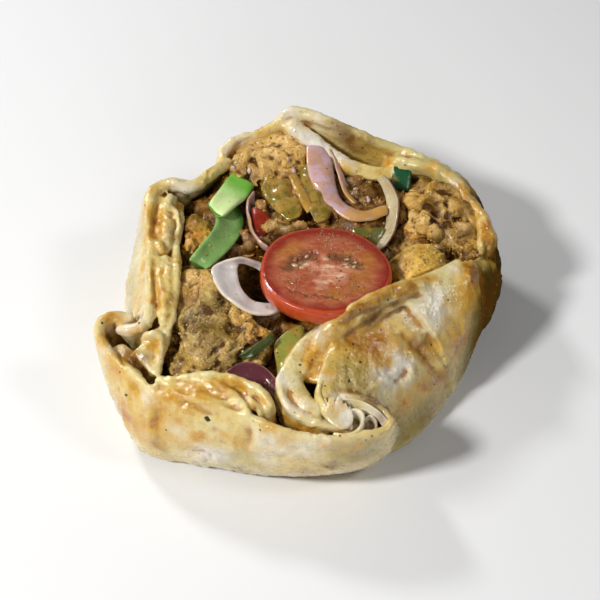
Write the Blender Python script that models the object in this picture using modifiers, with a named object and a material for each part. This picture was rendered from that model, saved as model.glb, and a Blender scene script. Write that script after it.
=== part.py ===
"""Kizhi parotta: a flaky layered flatbread gathered up like a pouch and opened out, with its chicken
masala, tomato slice, onion rings and green capsicum showing inside.

Frame: +X to the right, +Y to the back, +Z up, the origin on the table under the middle of the pouch.
Sizes are in millimetres, and MM turns them into metres where a mesh is made."""

import math

import bmesh
import bpy
from mathutils import Matrix, Vector, noise

MM = 0.001

# Driving sizes of the bread.
PLY = 3.4
DOUBLED_PLY = 4.6
PRESSED_PLIES = 6.0
FOLDED_OVER = 7.0
GATHERED_PLIES = 11.0
RIM_SHARE = 0.55
BASE_THICKNESS = 5.0
BASE_BEVEL = 1.2
BASE_INSET = 2.0
FOOT_HEIGHT = 3.0
BASE_REACH = 74.0

# How finely the curves are divided.
GRID_STEP = 5.5
VEGETABLE_STEP = 5.5
OUTLINE_POINTS = 40
TURNED_STEPS = 32

# Driving sizes of the filling.
TOMATO_RADIUS = 26.5
TOMATO_THICKNESS = 12.0
TOMATO_SEAT = (10.5, -7.5, 41.0)
TOMATO_TIP_FORWARD = math.radians(-8.5)
TOMATO_TIP_RIGHT = math.radians(1.5)
TOMATO_DEPTH_SHARE = 0.95
ONION_WALL = 2.2
CAPSICUM_WALL = 4.6
MASALA_BOTTOM = BASE_THICKNESS + 0.4

# Two pieces that touch keep this clearance, and vertices closer than WELD are one.
GAP = 0.35
LUMP_GAP = 1.4
WELD = 0.004

# Edges that turn more than this stay crisp.
SHARP_EDGE = math.radians(50)

# Triangles that the bread keeps after it is joined, and the large lumps after they make room.
BREAD_TRIANGLES = 5650
BALL_TRIANGLES = 2400
LUMP_TRIANGLES = {
    "chicken_left": 560,
    "chicken_right": 600,
    "chicken_round": 260,
    "chicken_small": 120,
    "chicken_back": 300,
    "tomato_piece": 80,
    "masala": 700,
}


def clear_scene():
    for obj in list(bpy.data.objects):
        bpy.data.objects.remove(obj, do_unlink=True)


def new_collection(name, shown):
    made = bpy.data.collections.new(name)
    bpy.context.scene.collection.children.link(made)
    made.hide_render = not shown
    return made


def principled(name, colour, roughness):
    made = bpy.data.materials.new(name)
    made.use_nodes = True
    shader = made.node_tree.nodes["Principled BSDF"]
    shader.inputs["Base Color"].default_value = (*colour, 1.0)
    shader.inputs["Roughness"].default_value = roughness
    return made


def smooth_row(points, count, closed=False):
    """count points of the Catmull-Rom curve through these points, even in the points' own steps."""
    size = len(points)
    spans = size if closed else size - 1
    made = []
    for i in range(count):
        t = spans * i / (count if closed else count - 1)
        k = min(int(t), spans - 1)
        f = t - k
        near = [j % size if closed else min(max(j, 0), size - 1) for j in (k - 1, k, k + 1, k + 2)]
        a, b, c, d = (Vector(points[j]) for j in near)
        made.append(
            0.5 * (2 * b + (c - a) * f + (2 * a - 5 * b + 4 * c - d) * f ** 2 + (3 * b - a - 3 * c + d) * f ** 3)
        )
    return made


def row_length(points):
    return sum((Vector(b) - Vector(a)).length for a, b in zip(points, points[1:]))


def solid_copy(source, name):
    """A mesh object of what source evaluates to, in world space, welded and in triangles."""
    bpy.context.view_layer.update()
    graph = bpy.context.evaluated_depsgraph_get()
    data = bpy.data.meshes.new_from_object(source.evaluated_get(graph))
    data.transform(source.matrix_world)
    data.name = name
    mesh = bmesh.new()
    mesh.from_mesh(data)
    bmesh.ops.remove_doubles(mesh, verts=mesh.verts, dist=WELD * MM)
    bmesh.ops.triangulate(mesh, faces=mesh.faces)
    mesh.to_mesh(data)
    mesh.free()
    data.materials.clear()
    return bpy.data.objects.new(name, data)


def applied(obj):
    """The same object with its modifiers applied, and not yet in the scene."""
    name = obj.name
    bpy.context.scene.collection.objects.link(obj)
    made = solid_copy(obj, name)
    bpy.data.objects.remove(obj)
    made.name = name
    return made


def largest_shell(obj):
    """Keeps the shell with the largest box, so no loose scrap or sealed hollow stays."""
    mesh = bmesh.new()
    mesh.from_mesh(obj.data)
    left, shells = set(mesh.faces), []
    while left:
        shell, front = [], [left.pop()]
        while front:
            face = front.pop()
            shell.append(face)
            for other in (f for e in face.edges if len(e.link_faces) == 2 for f in e.link_faces):
                if other in left:
                    left.remove(other)
                    front.append(other)
        shells.append(shell)

    def box_size(shell):
        spans = [[v.co[k] for face in shell for v in face.verts] for k in range(3)]
        return math.prod(max(s) - min(s) for s in spans)

    keep = max(shells, key=box_size)
    loose = [face for shell in shells if shell is not keep for face in shell]
    bmesh.ops.delete(mesh, geom=loose, context="FACES")
    mesh.to_mesh(obj.data)
    mesh.free()
    return obj


def thinned(obj, triangles):
    """The same surface with about this many triangles, the nearly flat places taking the fewest."""
    fewer = obj.modifiers.new("fewer", "DECIMATE")
    fewer.ratio = min(1.0, triangles / len(obj.data.polygons))
    return largest_shell(applied(obj))


def united(name, pieces):
    """One solid of several, by a single union on their collection, whose objects are then removed."""
    first, *others = [applied(p) for p in pieces]
    held = new_collection(name + "_pieces", shown=False)
    for obj in others:
        held.objects.link(obj)
    joint = first.modifiers.new("union", "BOOLEAN")
    joint.operation = "UNION"
    joint.operand_type = "COLLECTION"
    joint.collection = held
    joint.solver = "MANIFOLD"
    made = applied(first)
    for obj in others:
        bpy.data.objects.remove(obj)
    bpy.data.collections.remove(held)
    made.name = name
    return largest_shell(made)


def swollen(obj, clearance):
    """A cutter of this object's shape, larger by the clearance all round."""
    cutter = bpy.data.objects.new(obj.name + "_room", obj.data.copy())
    grown = cutter.modifiers.new("clearance", "DISPLACE")
    grown.strength = clearance * MM
    grown.mid_level = 0.0
    return applied(cutter)


def make_room(obj, earlier, clearance):
    """Cuts away what would stand in the earlier pieces or closer to them than the clearance."""
    held = new_collection(obj.name + "_cutters", shown=False)
    for other in earlier:
        cutter = swollen(other, clearance)
        cutter.hide_render = True
        cutter.display_type = "WIRE"
        held.objects.link(cutter)
        cut = obj.modifiers.new("room for " + other.name, "BOOLEAN")
        cut.operation = "DIFFERENCE"
        cut.object = cutter
        cut.solver = "MANIFOLD"
    made = applied(obj)
    for cutter in list(held.objects):
        bpy.data.objects.remove(cutter)
    bpy.data.collections.remove(held)
    return largest_shell(made)


# Plies of dough and strips of vegetable: a grid between an upper and a lower edge, then thickened.


def corner_at(bearing, at, width):
    """1 at this bearing, falling off smoothly on both sides. All three are degrees."""
    off = (bearing - at + 180) % 360 - 180
    return math.exp(-((off / width) ** 2))


def base_reach(bearing):
    """How far the foot of the pouch stands from the middle, by its bearing in degrees from +X."""
    front_left = 18 * corner_at(bearing, -133, 14)
    back_right = 7 * corner_at(bearing, 20, 28)
    front = 2 * corner_at(bearing, -95, 25)
    left = -2 * corner_at(bearing, 180, 40)
    return BASE_REACH + front_left + back_right + front + left


def foot_under(point):
    """Where the wall whose upper edge is at point meets the base."""
    bearing = math.atan2(point[1], point[0])
    reach = base_reach(math.degrees(bearing))
    return (reach * math.cos(bearing), reach * math.sin(bearing), FOOT_HEIGHT)


def ply(name, upper, lower=None, belly=0.0, peak=0.5, thickness=PLY, edge=RIM_SHARE, down=7, step=GRID_STEP,
        closed=False, thin_all_round=False):
    """One thick sheet from its upper edge to its lower one. It bulges by belly, away from the middle of the
    pouch, most at peak of the way down. Its upper edge has the share edge of the thickness."""
    lower = lower or [foot_under(p) for p in upper]
    along = max(5, round(max(row_length(upper), row_length(lower)) / step) + 1)
    top, bottom = smooth_row(upper, along, closed), smooth_row(lower, along, closed)
    bend = math.log(0.5) / math.log(peak)
    columns = along + 1 if closed else along
    chords = [b - a for a, b in zip(top, bottom)]
    outward = []
    for i in range(along):
        after, before = (i + 1, i - 1) if closed else (min(i + 1, along - 1), max(i - 1, 0))
        tangent = top[after % along] - top[before] + bottom[after % along] - bottom[before]
        outward.append(chords[i].cross(tangent).normalized())
    if sum(n.x * p.x + n.y * p.y for n, p in zip(outward, top)) < 0:
        outward = [-n for n in outward]
    mesh = bmesh.new()
    bmesh.ops.create_grid(mesh, x_segments=columns - 1, y_segments=down, size=1.0)
    share = mesh.verts.layers.deform.verify()
    for v in mesh.verts:
        column = round((v.co.x + 1) / 2 * (columns - 1))
        s = (v.co.y + 1) / 2
        i = column % along
        ends = thin_all_round and (column in (0, columns - 1) or s > 0.99)
        v[share][0] = edge if s < 0.01 or ends else 1.0
        v.co = (top[i] + chords[i] * s + outward[i] * belly * math.sin(math.pi * s ** bend)) * MM
    bmesh.ops.remove_doubles(mesh, verts=mesh.verts, dist=WELD * MM)
    data = bpy.data.meshes.new(name)
    mesh.to_mesh(data)
    mesh.free()
    obj = bpy.data.objects.new(name, data)
    obj.vertex_groups.new(name="share")
    solid = obj.modifiers.new("thickness", "SOLIDIFY")
    solid.thickness = thickness * MM
    solid.offset = 0.0
    solid.vertex_group = "share"
    solid.use_quality_normals = True
    return obj


def base_slab():
    """The flat round of dough that the pouch stands on."""
    curve = bpy.data.curves.new("base", "CURVE")
    curve.dimensions = "2D"
    curve.fill_mode = "BOTH"
    curve.extrude = (BASE_THICKNESS / 2 - BASE_BEVEL) * MM
    curve.bevel_depth = BASE_BEVEL * MM
    curve.bevel_resolution = 0
    curve.splines.new("POLY")
    outline = curve.splines[0]
    outline.points.add(OUTLINE_POINTS - 1)
    outline.use_cyclic_u = True
    for i, point in enumerate(outline.points):
        turn = math.tau * i / OUTLINE_POINTS
        reach = (base_reach(math.degrees(turn)) - BASE_INSET - BASE_BEVEL) * MM
        point.co = (reach * math.cos(turn), reach * math.sin(turn), 0, 1)
    slab = bpy.data.objects.new("base", curve)
    slab.location.z = BASE_THICKNESS / 2 * MM
    return slab


def bread_plies():
    """The plies of the pouch, named for where they stand."""
    made = [base_slab()]
    # The left wall: an outer ply whose front end curls out over the corner pocket, and two pleats inside it
    # with the gathered dough between them.
    made.append(ply(
        "left_outer",
        [(-50, 47, 50), (-60, 46, 52), (-67, 38, 52), (-66, 22, 51), (-64, 3, 50), (-62, -16, 49), (-62, -27, 47),
         (-66, -34, 45), (-72, -35, 44), (-76, -31, 41)],
        belly=6, peak=0.6, thickness=DOUBLED_PLY,
    ))
    made.append(ply(
        "left_pleat",
        [(-56, 40, 50), (-59, 28, 49), (-58, 14, 47), (-60, 2, 46), (-58, -12, 46)],
        [(-60, 42, 12), (-66, 26, 10), (-66, 12, 8), (-66, 0, 8), (-66, -14, 10)],
        belly=2, thickness=PRESSED_PLIES,
    ))
    made.append(ply(
        "left_gather",
        [(-58, 40, 45), (-61, 27, 44), (-60, 13, 43), (-60, 1, 42), (-59, -13, 42), (-59, -25, 40)],
        [(-62, 40, 10), (-66, 26, 8), (-66, 12, 6), (-66, 0, 6), (-66, -14, 6), (-66, -26, 6)],
        belly=3, thickness=GATHERED_PLIES,
    ))
    made.append(ply(
        "left_inner",
        [(-53, 40, 43), (-52, 28, 45), (-53, 12, 45), (-52, 2, 46), (-52, -16, 46), (-53, -30, 45), (-56, -42, 43),
         (-57, -53, 39)],
        [(-62, 40, 10), (-64, 26, 8), (-64, 12, 6), (-65, 0, 6), (-66, -18, 6), (-66, -30, 6), (-66, -42, 8),
         (-64, -52, 12)],
        belly=3, thickness=DOUBLED_PLY,
    ))
    made.append(ply(
        "torn_end",
        [(-54, -30, 45), (-62, -38, 43), (-69, -46, 41)],
        [(-54, -40, 40), (-57, -50, 38), (-56, -58, 38)],
        belly=1, down=4, thin_all_round=True,
    ))
    # The back-left shoulder, up to the notch where the back wall starts.
    made.append(ply(
        "back_left",
        [(-66, 41, 50), (-58, 45, 53), (-50, 44, 51), (-44, 49, 51), (-38, 56, 51), (-31, 63, 49)],
        belly=7, peak=0.6, thickness=DOUBLED_PLY,
    ))
    # The back wall. Its upper edge rises to a curl in the middle and opens into a fold behind a lower lip.
    made.append(ply(
        "back_outer",
        [(-34, 61, 46), (-36, 68, 51), (-28, 74, 53), (-18, 77, 54), (-11, 80, 57), (-6, 84, 61), (2, 84, 61),
         (12, 80, 60), (23, 76, 57), (34, 73, 53), (46, 70, 50), (55, 65, 50), (66, 58, 49)],
        belly=5, peak=0.6, thickness=DOUBLED_PLY,
    ))
    made.append(ply(
        "back_lip",
        [(-8, 81, 57), (-2, 77, 55), (6, 71, 52), (14, 65, 49), (22, 61, 47), (32, 58, 45), (41, 58, 45), (50, 61, 47),
         (60, 60, 48)],
        [(-8, 82, 30), (0, 80, 28), (8, 76, 26), (16, 72, 25), (24, 70, 25), (34, 69, 25), (43, 68, 26), (50, 66, 28),
         (58, 62, 30)],
        belly=1, thickness=FOLDED_OVER, edge=0.8,
    ))
    # The right wall, lower than the rest, with the chicken leaning over it.
    made.append(ply(
        "right_wall",
        [(58, 62, 49), (66, 58, 49), (73, 52, 47), (79, 44, 43), (83, 34, 38), (86, 24, 35), (87, 13, 32), (84, 4, 31),
         (78, -3, 34)],
        belly=4, peak=0.55, thickness=DOUBLED_PLY,
    ))
    # The right front: a broad fold that lies over the filling, and a second ply on top of it to the right.
    made.append(ply(
        "front_fold",
        [(70, -1, 44), (59, -9, 45), (48, -14, 45), (36, -20, 45), (24, -28, 45), (17, -37, 45), (12, -47, 45),
         (8, -57, 44), (7, -66, 43), (11, -73, 41), (20, -76, 40)],
        [(76, -8, 3), (70, -24, 3), (64, -37, 3), (57, -48, 3), (50, -57, 3), (44, -63, 3), (38, -67, 3),
         (30, -68, 5), (24, -68, 8), (20, -70, 10), (20, -74, 12)],
        belly=8, peak=0.45, down=9,
    ))
    made.append(ply(
        "right_fold",
        [(40, -20, 47), (49, -13, 48), (59, -8, 48), (68, -2, 48), (75, 3, 45), (78, 9, 41)],
        [(64, -38, 5), (68, -30, 4), (72, -20, 3), (75, -10, 3), (77, 0, 3), (78, 8, 4)],
        belly=9, peak=0.4, down=9, thickness=DOUBLED_PLY,
    ))
    made.append(ply(
        "roll_floor",
        [(18, -30, 43), (10, -38, 43), (3, -48, 42), (-1, -57, 39)],
        [(26, -34, 43), (20, -42, 43), (15, -51, 42), (9, -60, 39)],
        down=3,
    ))
    # The doubled hem along the fold's upper edge, which turns down at the front into the open roll.
    made.append(ply(
        "hem",
        [(68, 1, 48), (58, -6, 49), (47, -11, 48), (34, -17, 48), (20, -26, 48), (9, -34, 47), (0, -43, 46),
         (-6, -53, 45), (-9, -63, 44), (-6, -73, 43), (2, -79, 41), (12, -81, 40), (21, -82, 40)],
        [(66, -8, 45), (58, -15, 46), (46, -20, 46), (35, -26, 46), (24, -34, 46), (15, -41, 45), (8, -49, 44),
         (3, -56, 43), (0, -63, 41), (2, -68, 38), (7, -71, 36), (14, -73, 35), (21, -75, 34)],
        belly=2.5, thickness=4.2, down=5, thin_all_round=True,
    ))
    made.append(ply(
        "hem_inside",
        [(20, -25, 46), (9, -33, 45), (0, -42, 44), (-6, -52, 43), (-9, -62, 42), (-6, -72, 41), (2, -78, 39),
         (12, -80, 38)],
        [(22, -28, 26), (10, -37, 24), (2, -45, 22), (-4, -54, 22), (-7, -62, 22), (-4, -71, 20), (3, -77, 18),
         (12, -79, 16)],
        down=4,
    ))
    # The front wall: it starts outside the left wall, turns the corner, and curls back on itself at its right end.
    made.append(ply(
        "front_outer",
        [(-70, -27, 44), (-78, -27, 46), (-84, -31, 45), (-83, -38, 43), (-78, -45, 42), (-72, -51, 42),
         (-65, -58, 42), (-59, -64, 42), (-51, -68, 42), (-41, -71, 44), (-30, -74, 44), (-20, -78, 43),
         (-10, -83, 42), (0, -86, 41), (12, -88, 41), (24, -86, 41), (32, -84, 41), (36, -80, 41), (33, -75, 41),
         (26, -70, 41), (17, -68, 41)],
        [(-66, -28, 4), (-68, -31, 4), (-71, -37, 3), (-70, -44, 3), (-69, -52, 3), (-67, -59, 3), (-65, -65, 3),
         (-58, -69, 3), (-50, -70, 3), (-41, -72, 3), (-31, -74, 3), (-20, -76, 3), (-10, -77, 3), (0, -77, 3),
         (12, -76, 3), (22, -74, 3), (29, -71, 5), (31, -68, 10), (29, -66, 16), (24, -64, 18), (17, -63, 18)],
        belly=4, peak=0.6, thickness=DOUBLED_PLY,
    ))
    made.append(ply(
        "front_inner",
        [(-58, -60, 43), (-50, -61, 45), (-40, -59, 46), (-30, -60, 46), (-22, -63, 46), (-15, -67, 45),
         (-11, -74, 43)],
        [(-62, -64, 12), (-52, -66, 12), (-42, -67, 12), (-31, -68, 12), (-22, -70, 12), (-14, -73, 12),
         (-10, -77, 12)],
        belly=1, thickness=DOUBLED_PLY,
    ))
    made.append(ply(
        "front_tuck",
        [(-52, -66, 42), (-42, -67, 44), (-32, -68, 43), (-22, -71, 41), (-13, -76, 39)],
        [(-56, -62, 36), (-44, -60, 38), (-32, -61, 38), (-22, -64, 37), (-13, -68, 36)],
        down=3,
    ))
    return made


# Chunks of chicken and the masala: a ball drawn out to a plan outline, with a lumpy surface.


def lump(name, outline, low, high, roughness=1.0, grain=9.0, seed=0, lean=(0.0, 0.0), boxy=0.75):
    """A rounded chunk from height low to high. Its plan outline passes near these (x, y) points, its upper
    side rises by lean per millimetre along X and Y, and its surface rolls by roughness over about grain."""
    centre = sum((Vector((x, y, 0)) for x, y in outline), Vector()) / len(outline)
    row = smooth_row([(x - centre.x, y - centre.y, 0) for x, y in outline], 90, closed=True)
    around = sorted((math.atan2(p.y, p.x), p.length) for p in row)

    def reach(bearing):
        return min(around, key=lambda pair: abs(math.remainder(pair[0] - bearing, math.tau)))[1]

    half = (high - low) / 2
    mesh = bmesh.new()
    bmesh.ops.create_icosphere(mesh, subdivisions=5, radius=1.0)
    for v in mesh.verts:
        bearing = math.atan2(v.co.y, v.co.x)
        flat = math.hypot(v.co.x, v.co.y) ** boxy
        out = reach(bearing) * flat
        height = half * math.copysign(abs(v.co.z) ** boxy, v.co.z)
        spot = Vector((out * math.cos(bearing), out * math.sin(bearing), height))
        if height > 0:
            spot.z += (spot.x * lean[0] + spot.y * lean[1]) * height / half
        spot += v.co * roughness * noise.fractal(spot / grain + Vector((seed, 0, 0)), 0.6, 2.0, 3)
        v.co = (spot + centre + Vector((0, 0, low + half))) * MM
    data = bpy.data.meshes.new(name)
    mesh.to_mesh(data)
    mesh.free()
    return thinned(bpy.data.objects.new(name, data), BALL_TRIANGLES)


def tomato_slice():
    """The end of a tomato: a flat cut face above, the rounded skin below, tipped up a little at the front."""
    profile = [(0, 0), (0.70, 0.03), (0.90, 0.14), (0.98, 0.36), (1.0, 0.80), (0.985, 1.0), (0, 1.0)]
    mesh = bmesh.new()
    spots = [mesh.verts.new((r * TOMATO_RADIUS * MM, 0, z * TOMATO_THICKNESS * MM)) for r, z in profile]
    for a, b in zip(spots, spots[1:]):
        mesh.edges.new((a, b))
    data = bpy.data.meshes.new("tomato_slice")
    mesh.to_mesh(data)
    mesh.free()
    obj = bpy.data.objects.new("tomato_slice", data)
    turned = obj.modifiers.new("round", "SCREW")
    turned.steps = turned.render_steps = TURNED_STEPS
    turned.use_merge_vertices = True
    turned.merge_threshold = 0.00001
    turned.use_normal_calculate = True
    made = applied(obj)
    made.name = "tomato_slice"
    oval = Matrix.Diagonal((1.0, TOMATO_DEPTH_SHARE, 1.0, 1.0))
    tip = Matrix.Rotation(TOMATO_TIP_FORWARD, 4, "X") @ Matrix.Rotation(TOMATO_TIP_RIGHT, 4, "Y")
    made.data.transform(Matrix.Translation(Vector(TOMATO_SEAT) * MM) @ tip @ oval)
    return made


def vegetable(name, upper, lower, thickness=ONION_WALL, belly=0.5, closed=False):
    """A strip or a ring of onion or capsicum."""
    return applied(ply(
        name, upper, lower, belly, thickness=thickness, edge=0.8, down=2, step=VEGETABLE_STEP, closed=closed,
        thin_all_round=True,
    ))


def filling():
    """The pieces of the filling, each before those that make room for it."""
    made = [tomato_slice()]
    # Onion: a ring on edge under the tomato, a broad pink band behind it, and three thin arcs.
    made.append(vegetable(
        "onion_ring",
        [(-38, -1, 48), (-34, 4, 49), (-28, 6, 50), (-21, 3, 50), (-15, -3, 48), (-9, -13, 46), (-5, -24, 44),
         (-7, -31, 43), (-14, -32, 44), (-21, -29, 45), (-27, -21, 45), (-33, -11, 46)],
        [(-29, 2, 41), (-27, 5, 41), (-25, 5, 41), (-20, 2, 41), (-15, -4, 40), (-10, -13, 39), (-7, -21, 38),
         (-9, -25, 37), (-14, -24, 38), (-19, -20, 38), (-24, -13, 39), (-28, -5, 40)],
        closed=True,
    ))
    made.append(vegetable(
        "onion_band",
        [(1, 66, 52), (4, 53, 51), (7, 41, 50), (12, 32, 48), (20, 26, 47), (29, 26, 46), (37, 27, 46), (42, 31, 46)],
        [(11, 65, 49), (14, 55, 47), (16, 44, 46), (20, 37, 44), (26, 34, 42), (32, 33, 41), (37, 34, 41),
         (41, 36, 41)],
        thickness=2.8, belly=1.5,
    ))
    made.append(vegetable(
        "onion_arc_right",
        [(36, 56, 48), (42, 50, 48), (46, 41, 47), (47, 31, 46), (44, 21, 45), (39, 12, 43), (33, 8, 41)],
        [(34, 53, 42), (39, 47, 42), (42, 40, 41), (43, 31, 40), (40, 23, 39), (36, 16, 38), (31, 12, 37)],
        thickness=3.0, belly=1.0,
    ))
    made.append(vegetable(
        "onion_arc_left",
        [(-16, 45, 47), (-22, 41, 48), (-25, 33, 48), (-23, 22, 47), (-18, 13, 46), (-13, 8, 44)],
        [(-15, 44, 40), (-19, 40, 40), (-21, 33, 40), (-20, 24, 39), (-16, 16, 38), (-11, 11, 37)],
    ))
    # Capsicum: two bright raw strips at the left, one at the back right, and cooked pieces between them.
    made.append(vegetable(
        "capsicum_light",
        [(-34, 50, 47), (-39, 39, 50), (-42, 27, 52)],
        [(-22, 49, 45), (-25, 36, 48), (-31, 22, 50)],
        thickness=CAPSICUM_WALL, belly=1.0,
    ))
    made.append(vegetable(
        "capsicum_dark",
        [(-32, 24, 46), (-38, 13, 48), (-47, 2, 48)],
        [(-24, 19, 39), (-27, 7, 41), (-36, -2, 42)],
        thickness=CAPSICUM_WALL, belly=2.0,
    ))
    made.append(vegetable(
        "capsicum_back",
        [(41, 62, 47), (46, 63, 47), (51, 60, 47)],
        [(42, 52, 40), (46, 51, 40), (50, 50, 40)],
        thickness=CAPSICUM_WALL,
    ))
    made.append(vegetable(
        "capsicum_cooked_middle",
        [(0, 48, 44), (8, 42, 46), (13, 32, 47), (13, 23, 46)],
        [(-4, 38, 42), (0, 32, 43), (4, 26, 44), (7, 21, 43)],
        thickness=3.6, belly=1.5,
    ))
    made.append(vegetable(
        "capsicum_cooked_left",
        [(-19, 52, 45), (-10, 50, 45), (-3, 42, 45)],
        [(-17, 36, 42), (-10, 28, 42), (-3, 24, 43)],
        thickness=3.6, belly=1.5,
    ))
    made.append(vegetable(
        "capsicum_cooked_right",
        [(22, 24, 43), (30, 24, 44), (38, 25, 43)],
        [(25, 15, 38), (31, 12, 38), (36, 16, 38)],
        thickness=3.6, belly=1.0,
    ))
    made.append(vegetable(
        "capsicum_front",
        [(-11, -40, 40), (-5, -34, 42), (1, -31, 43)],
        [(-9, -56, 38), (-2, -50, 39), (4, -42, 40)],
        thickness=3.6, belly=-1.5,
    ))
    made.append(vegetable(
        "chilli_front",
        [(-27, -46, 42), (-18, -40, 43), (-11, -36, 43)],
        [(-25, -51, 39), (-16, -47, 40), (-9, -42, 40)],
        thickness=3.0, belly=-1.0,
    ))
    made.append(vegetable(
        "onion_front",
        [(-32, -54, 38), (-24, -48, 41), (-15, -50, 41), (-8, -58, 39)],
        [(-30, -59, 33), (-23, -56, 34), (-15, -58, 34), (-9, -64, 33)],
        thickness=3.0, belly=-2.0,
    ))
    made.append(lump(
        "tomato_piece",
        [(-17, 34), (-12, 33), (-9, 26), (-11, 20), (-16, 21), (-18, 27)],
        34, 43, roughness=0.6,
    ))
    # Chicken: a big chunk on the left, a small one behind it, a smooth and a shredded one on the right, and
    # shreds heaped against the back wall up to its rim.
    made.append(lump(
        "chicken_left",
        [(-49, 2), (-41, 6), (-32, -2), (-25, -14), (-19, -24), (-12, -36), (-15, -46), (-25, -51), (-36, -55),
         (-48, -56), (-54, -44), (-54, -20)],
        14, 47, roughness=3.6, grain=12, seed=3, lean=(0.06, 0.07),
    ))
    made.append(lump(
        "chicken_small",
        [(-52, 29), (-48, 33), (-42, 29), (-38, 19), (-42, 9), (-50, 12)],
        22, 45, roughness=2.5, seed=5,
    ))
    made.append(lump(
        "chicken_round",
        [(40, 0), (41, 9), (47, 15), (56, 16), (63, 9), (65, -3), (60, -12), (52, -15), (43, -13)],
        16, 49, roughness=1.6, grain=14, seed=8,
    ))
    made.append(lump(
        "chicken_right",
        [(47, 47), (52, 57), (61, 58), (72, 54), (82, 44), (87, 32), (89, 19), (86, 8), (75, 3), (63, 15), (54, 21),
         (47, 26)],
        22, 47, roughness=3.4, grain=12, seed=11, lean=(-0.10, 0.02),
    ))
    made.append(lump(
        "chicken_back",
        [(-38, 54), (-33, 62), (-26, 69), (-14, 73), (-4, 75), (6, 68), (10, 58), (2, 51), (-12, 49), (-26, 49)],
        26, 50, roughness=2.6, grain=10, seed=21, lean=(0.02, 0.30),
    ))
    made.append(lump(
        "masala",
        [(66, 0), (70, 30), (58, 52), (30, 64), (0, 72), (-30, 66), (-48, 46), (-58, 20), (-58, -10), (-56, -40),
         (-44, -56), (-20, -58), (4, -52), (30, -46), (52, -30)],
        MASALA_BOTTOM, 38, roughness=4.0, grain=16, seed=14, lean=(0.0, 0.14), boxy=0.45,
    ))
    return made


LOOKS = {
    "tomato_slice": ((0.56, 0.07, 0.04), 0.3),
    "tomato_piece": ((0.56, 0.06, 0.03), 0.3),
    "onion_ring": ((0.80, 0.73, 0.62), 0.35),
    "onion_band": ((0.76, 0.52, 0.50), 0.35),
    "onion_arc_right": ((0.70, 0.60, 0.42), 0.35),
    "onion_arc_left": ((0.74, 0.60, 0.42), 0.35),
    "onion_front": ((0.28, 0.07, 0.12), 0.3),
    "capsicum_light": ((0.30, 0.62, 0.15), 0.35),
    "capsicum_dark": ((0.10, 0.30, 0.05), 0.35),
    "capsicum_back": ((0.04, 0.20, 0.07), 0.35),
    "capsicum_cooked_middle": ((0.42, 0.30, 0.06), 0.35),
    "capsicum_cooked_left": ((0.44, 0.30, 0.06), 0.35),
    "capsicum_cooked_right": ((0.22, 0.20, 0.04), 0.35),
    "capsicum_front": ((0.30, 0.38, 0.08), 0.3),
    "chilli_front": ((0.06, 0.14, 0.03), 0.25),
    "chicken_left": ((0.42, 0.24, 0.08), 0.55),
    "chicken_small": ((0.52, 0.27, 0.07), 0.55),
    "chicken_round": ((0.64, 0.40, 0.12), 0.5),
    "chicken_right": ((0.52, 0.30, 0.09), 0.55),
    "chicken_back": ((0.52, 0.30, 0.09), 0.55),
    "masala": ((0.30, 0.14, 0.03), 0.55),
}


def build():
    clear_scene()
    shown = new_collection("kizhi_parotta", shown=True)
    bread = thinned(united("parotta", bread_plies()), BREAD_TRIANGLES)
    bread.data.materials.append(principled("parotta", (0.80, 0.62, 0.36), 0.45))
    shown.objects.link(bread)
    settled = [bread]
    for piece in filling():
        name = piece.name
        if name in LUMP_TRIANGLES:
            inside = thinned(make_room(piece, [bread], LUMP_GAP), LUMP_TRIANGLES[name])
            fitted = make_room(inside, settled[1:], GAP)
        else:
            fitted = make_room(piece, settled, GAP)
        settled.append(fitted)
        fitted.data.materials.append(principled(name, *LOOKS[name]))
        shown.objects.link(fitted)
    for obj in shown.objects:
        obj.data.shade_smooth()
        obj.data.set_sharp_from_angle(angle=SHARP_EDGE)


build()
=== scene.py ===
"""The looks of the kizhi parotta: stained and oily layered bread around crumbly chicken masala, a tomato
slice, onion and capsicum. Sizes are in millimetres and become metres by MM where a mesh is made."""

import math

import bmesh
import bpy
import numpy as np
from mathutils import Matrix, Vector, noise
from mathutils.bvhtree import BVHTree


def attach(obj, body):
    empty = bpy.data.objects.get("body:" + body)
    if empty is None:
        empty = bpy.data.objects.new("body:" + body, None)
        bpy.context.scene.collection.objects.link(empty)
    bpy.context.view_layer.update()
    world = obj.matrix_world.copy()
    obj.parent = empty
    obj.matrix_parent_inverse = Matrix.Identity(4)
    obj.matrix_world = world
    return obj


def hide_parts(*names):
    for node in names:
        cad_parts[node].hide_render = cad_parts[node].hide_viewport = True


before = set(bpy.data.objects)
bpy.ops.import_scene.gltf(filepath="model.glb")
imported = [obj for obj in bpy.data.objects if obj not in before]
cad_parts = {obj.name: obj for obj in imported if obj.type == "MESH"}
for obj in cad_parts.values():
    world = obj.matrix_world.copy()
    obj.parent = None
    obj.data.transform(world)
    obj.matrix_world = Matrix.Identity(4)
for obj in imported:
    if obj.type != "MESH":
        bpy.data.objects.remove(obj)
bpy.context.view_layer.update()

MM = 0.001
# The offsets of the vector noise are drawn at random unless they have a seed.
noise.seed_set(7)


# The view. The photo was taken with a long lens from in front, 48 degrees up, and the pouch sits a little
# above the middle of its 600 by 600 frame. sight() gives the line along which one of its pixels looks.

PHOTO_SIDE = 600
PHOTO_MIDDLE_ROW = 292
LENS, SENSOR = 85.0, 36.0
VIEW_DISTANCE = 0.62
VIEW_ELEVATION = math.radians(48)
VIEW_AIM = Vector((0.0, 0.0, 0.028))

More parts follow.
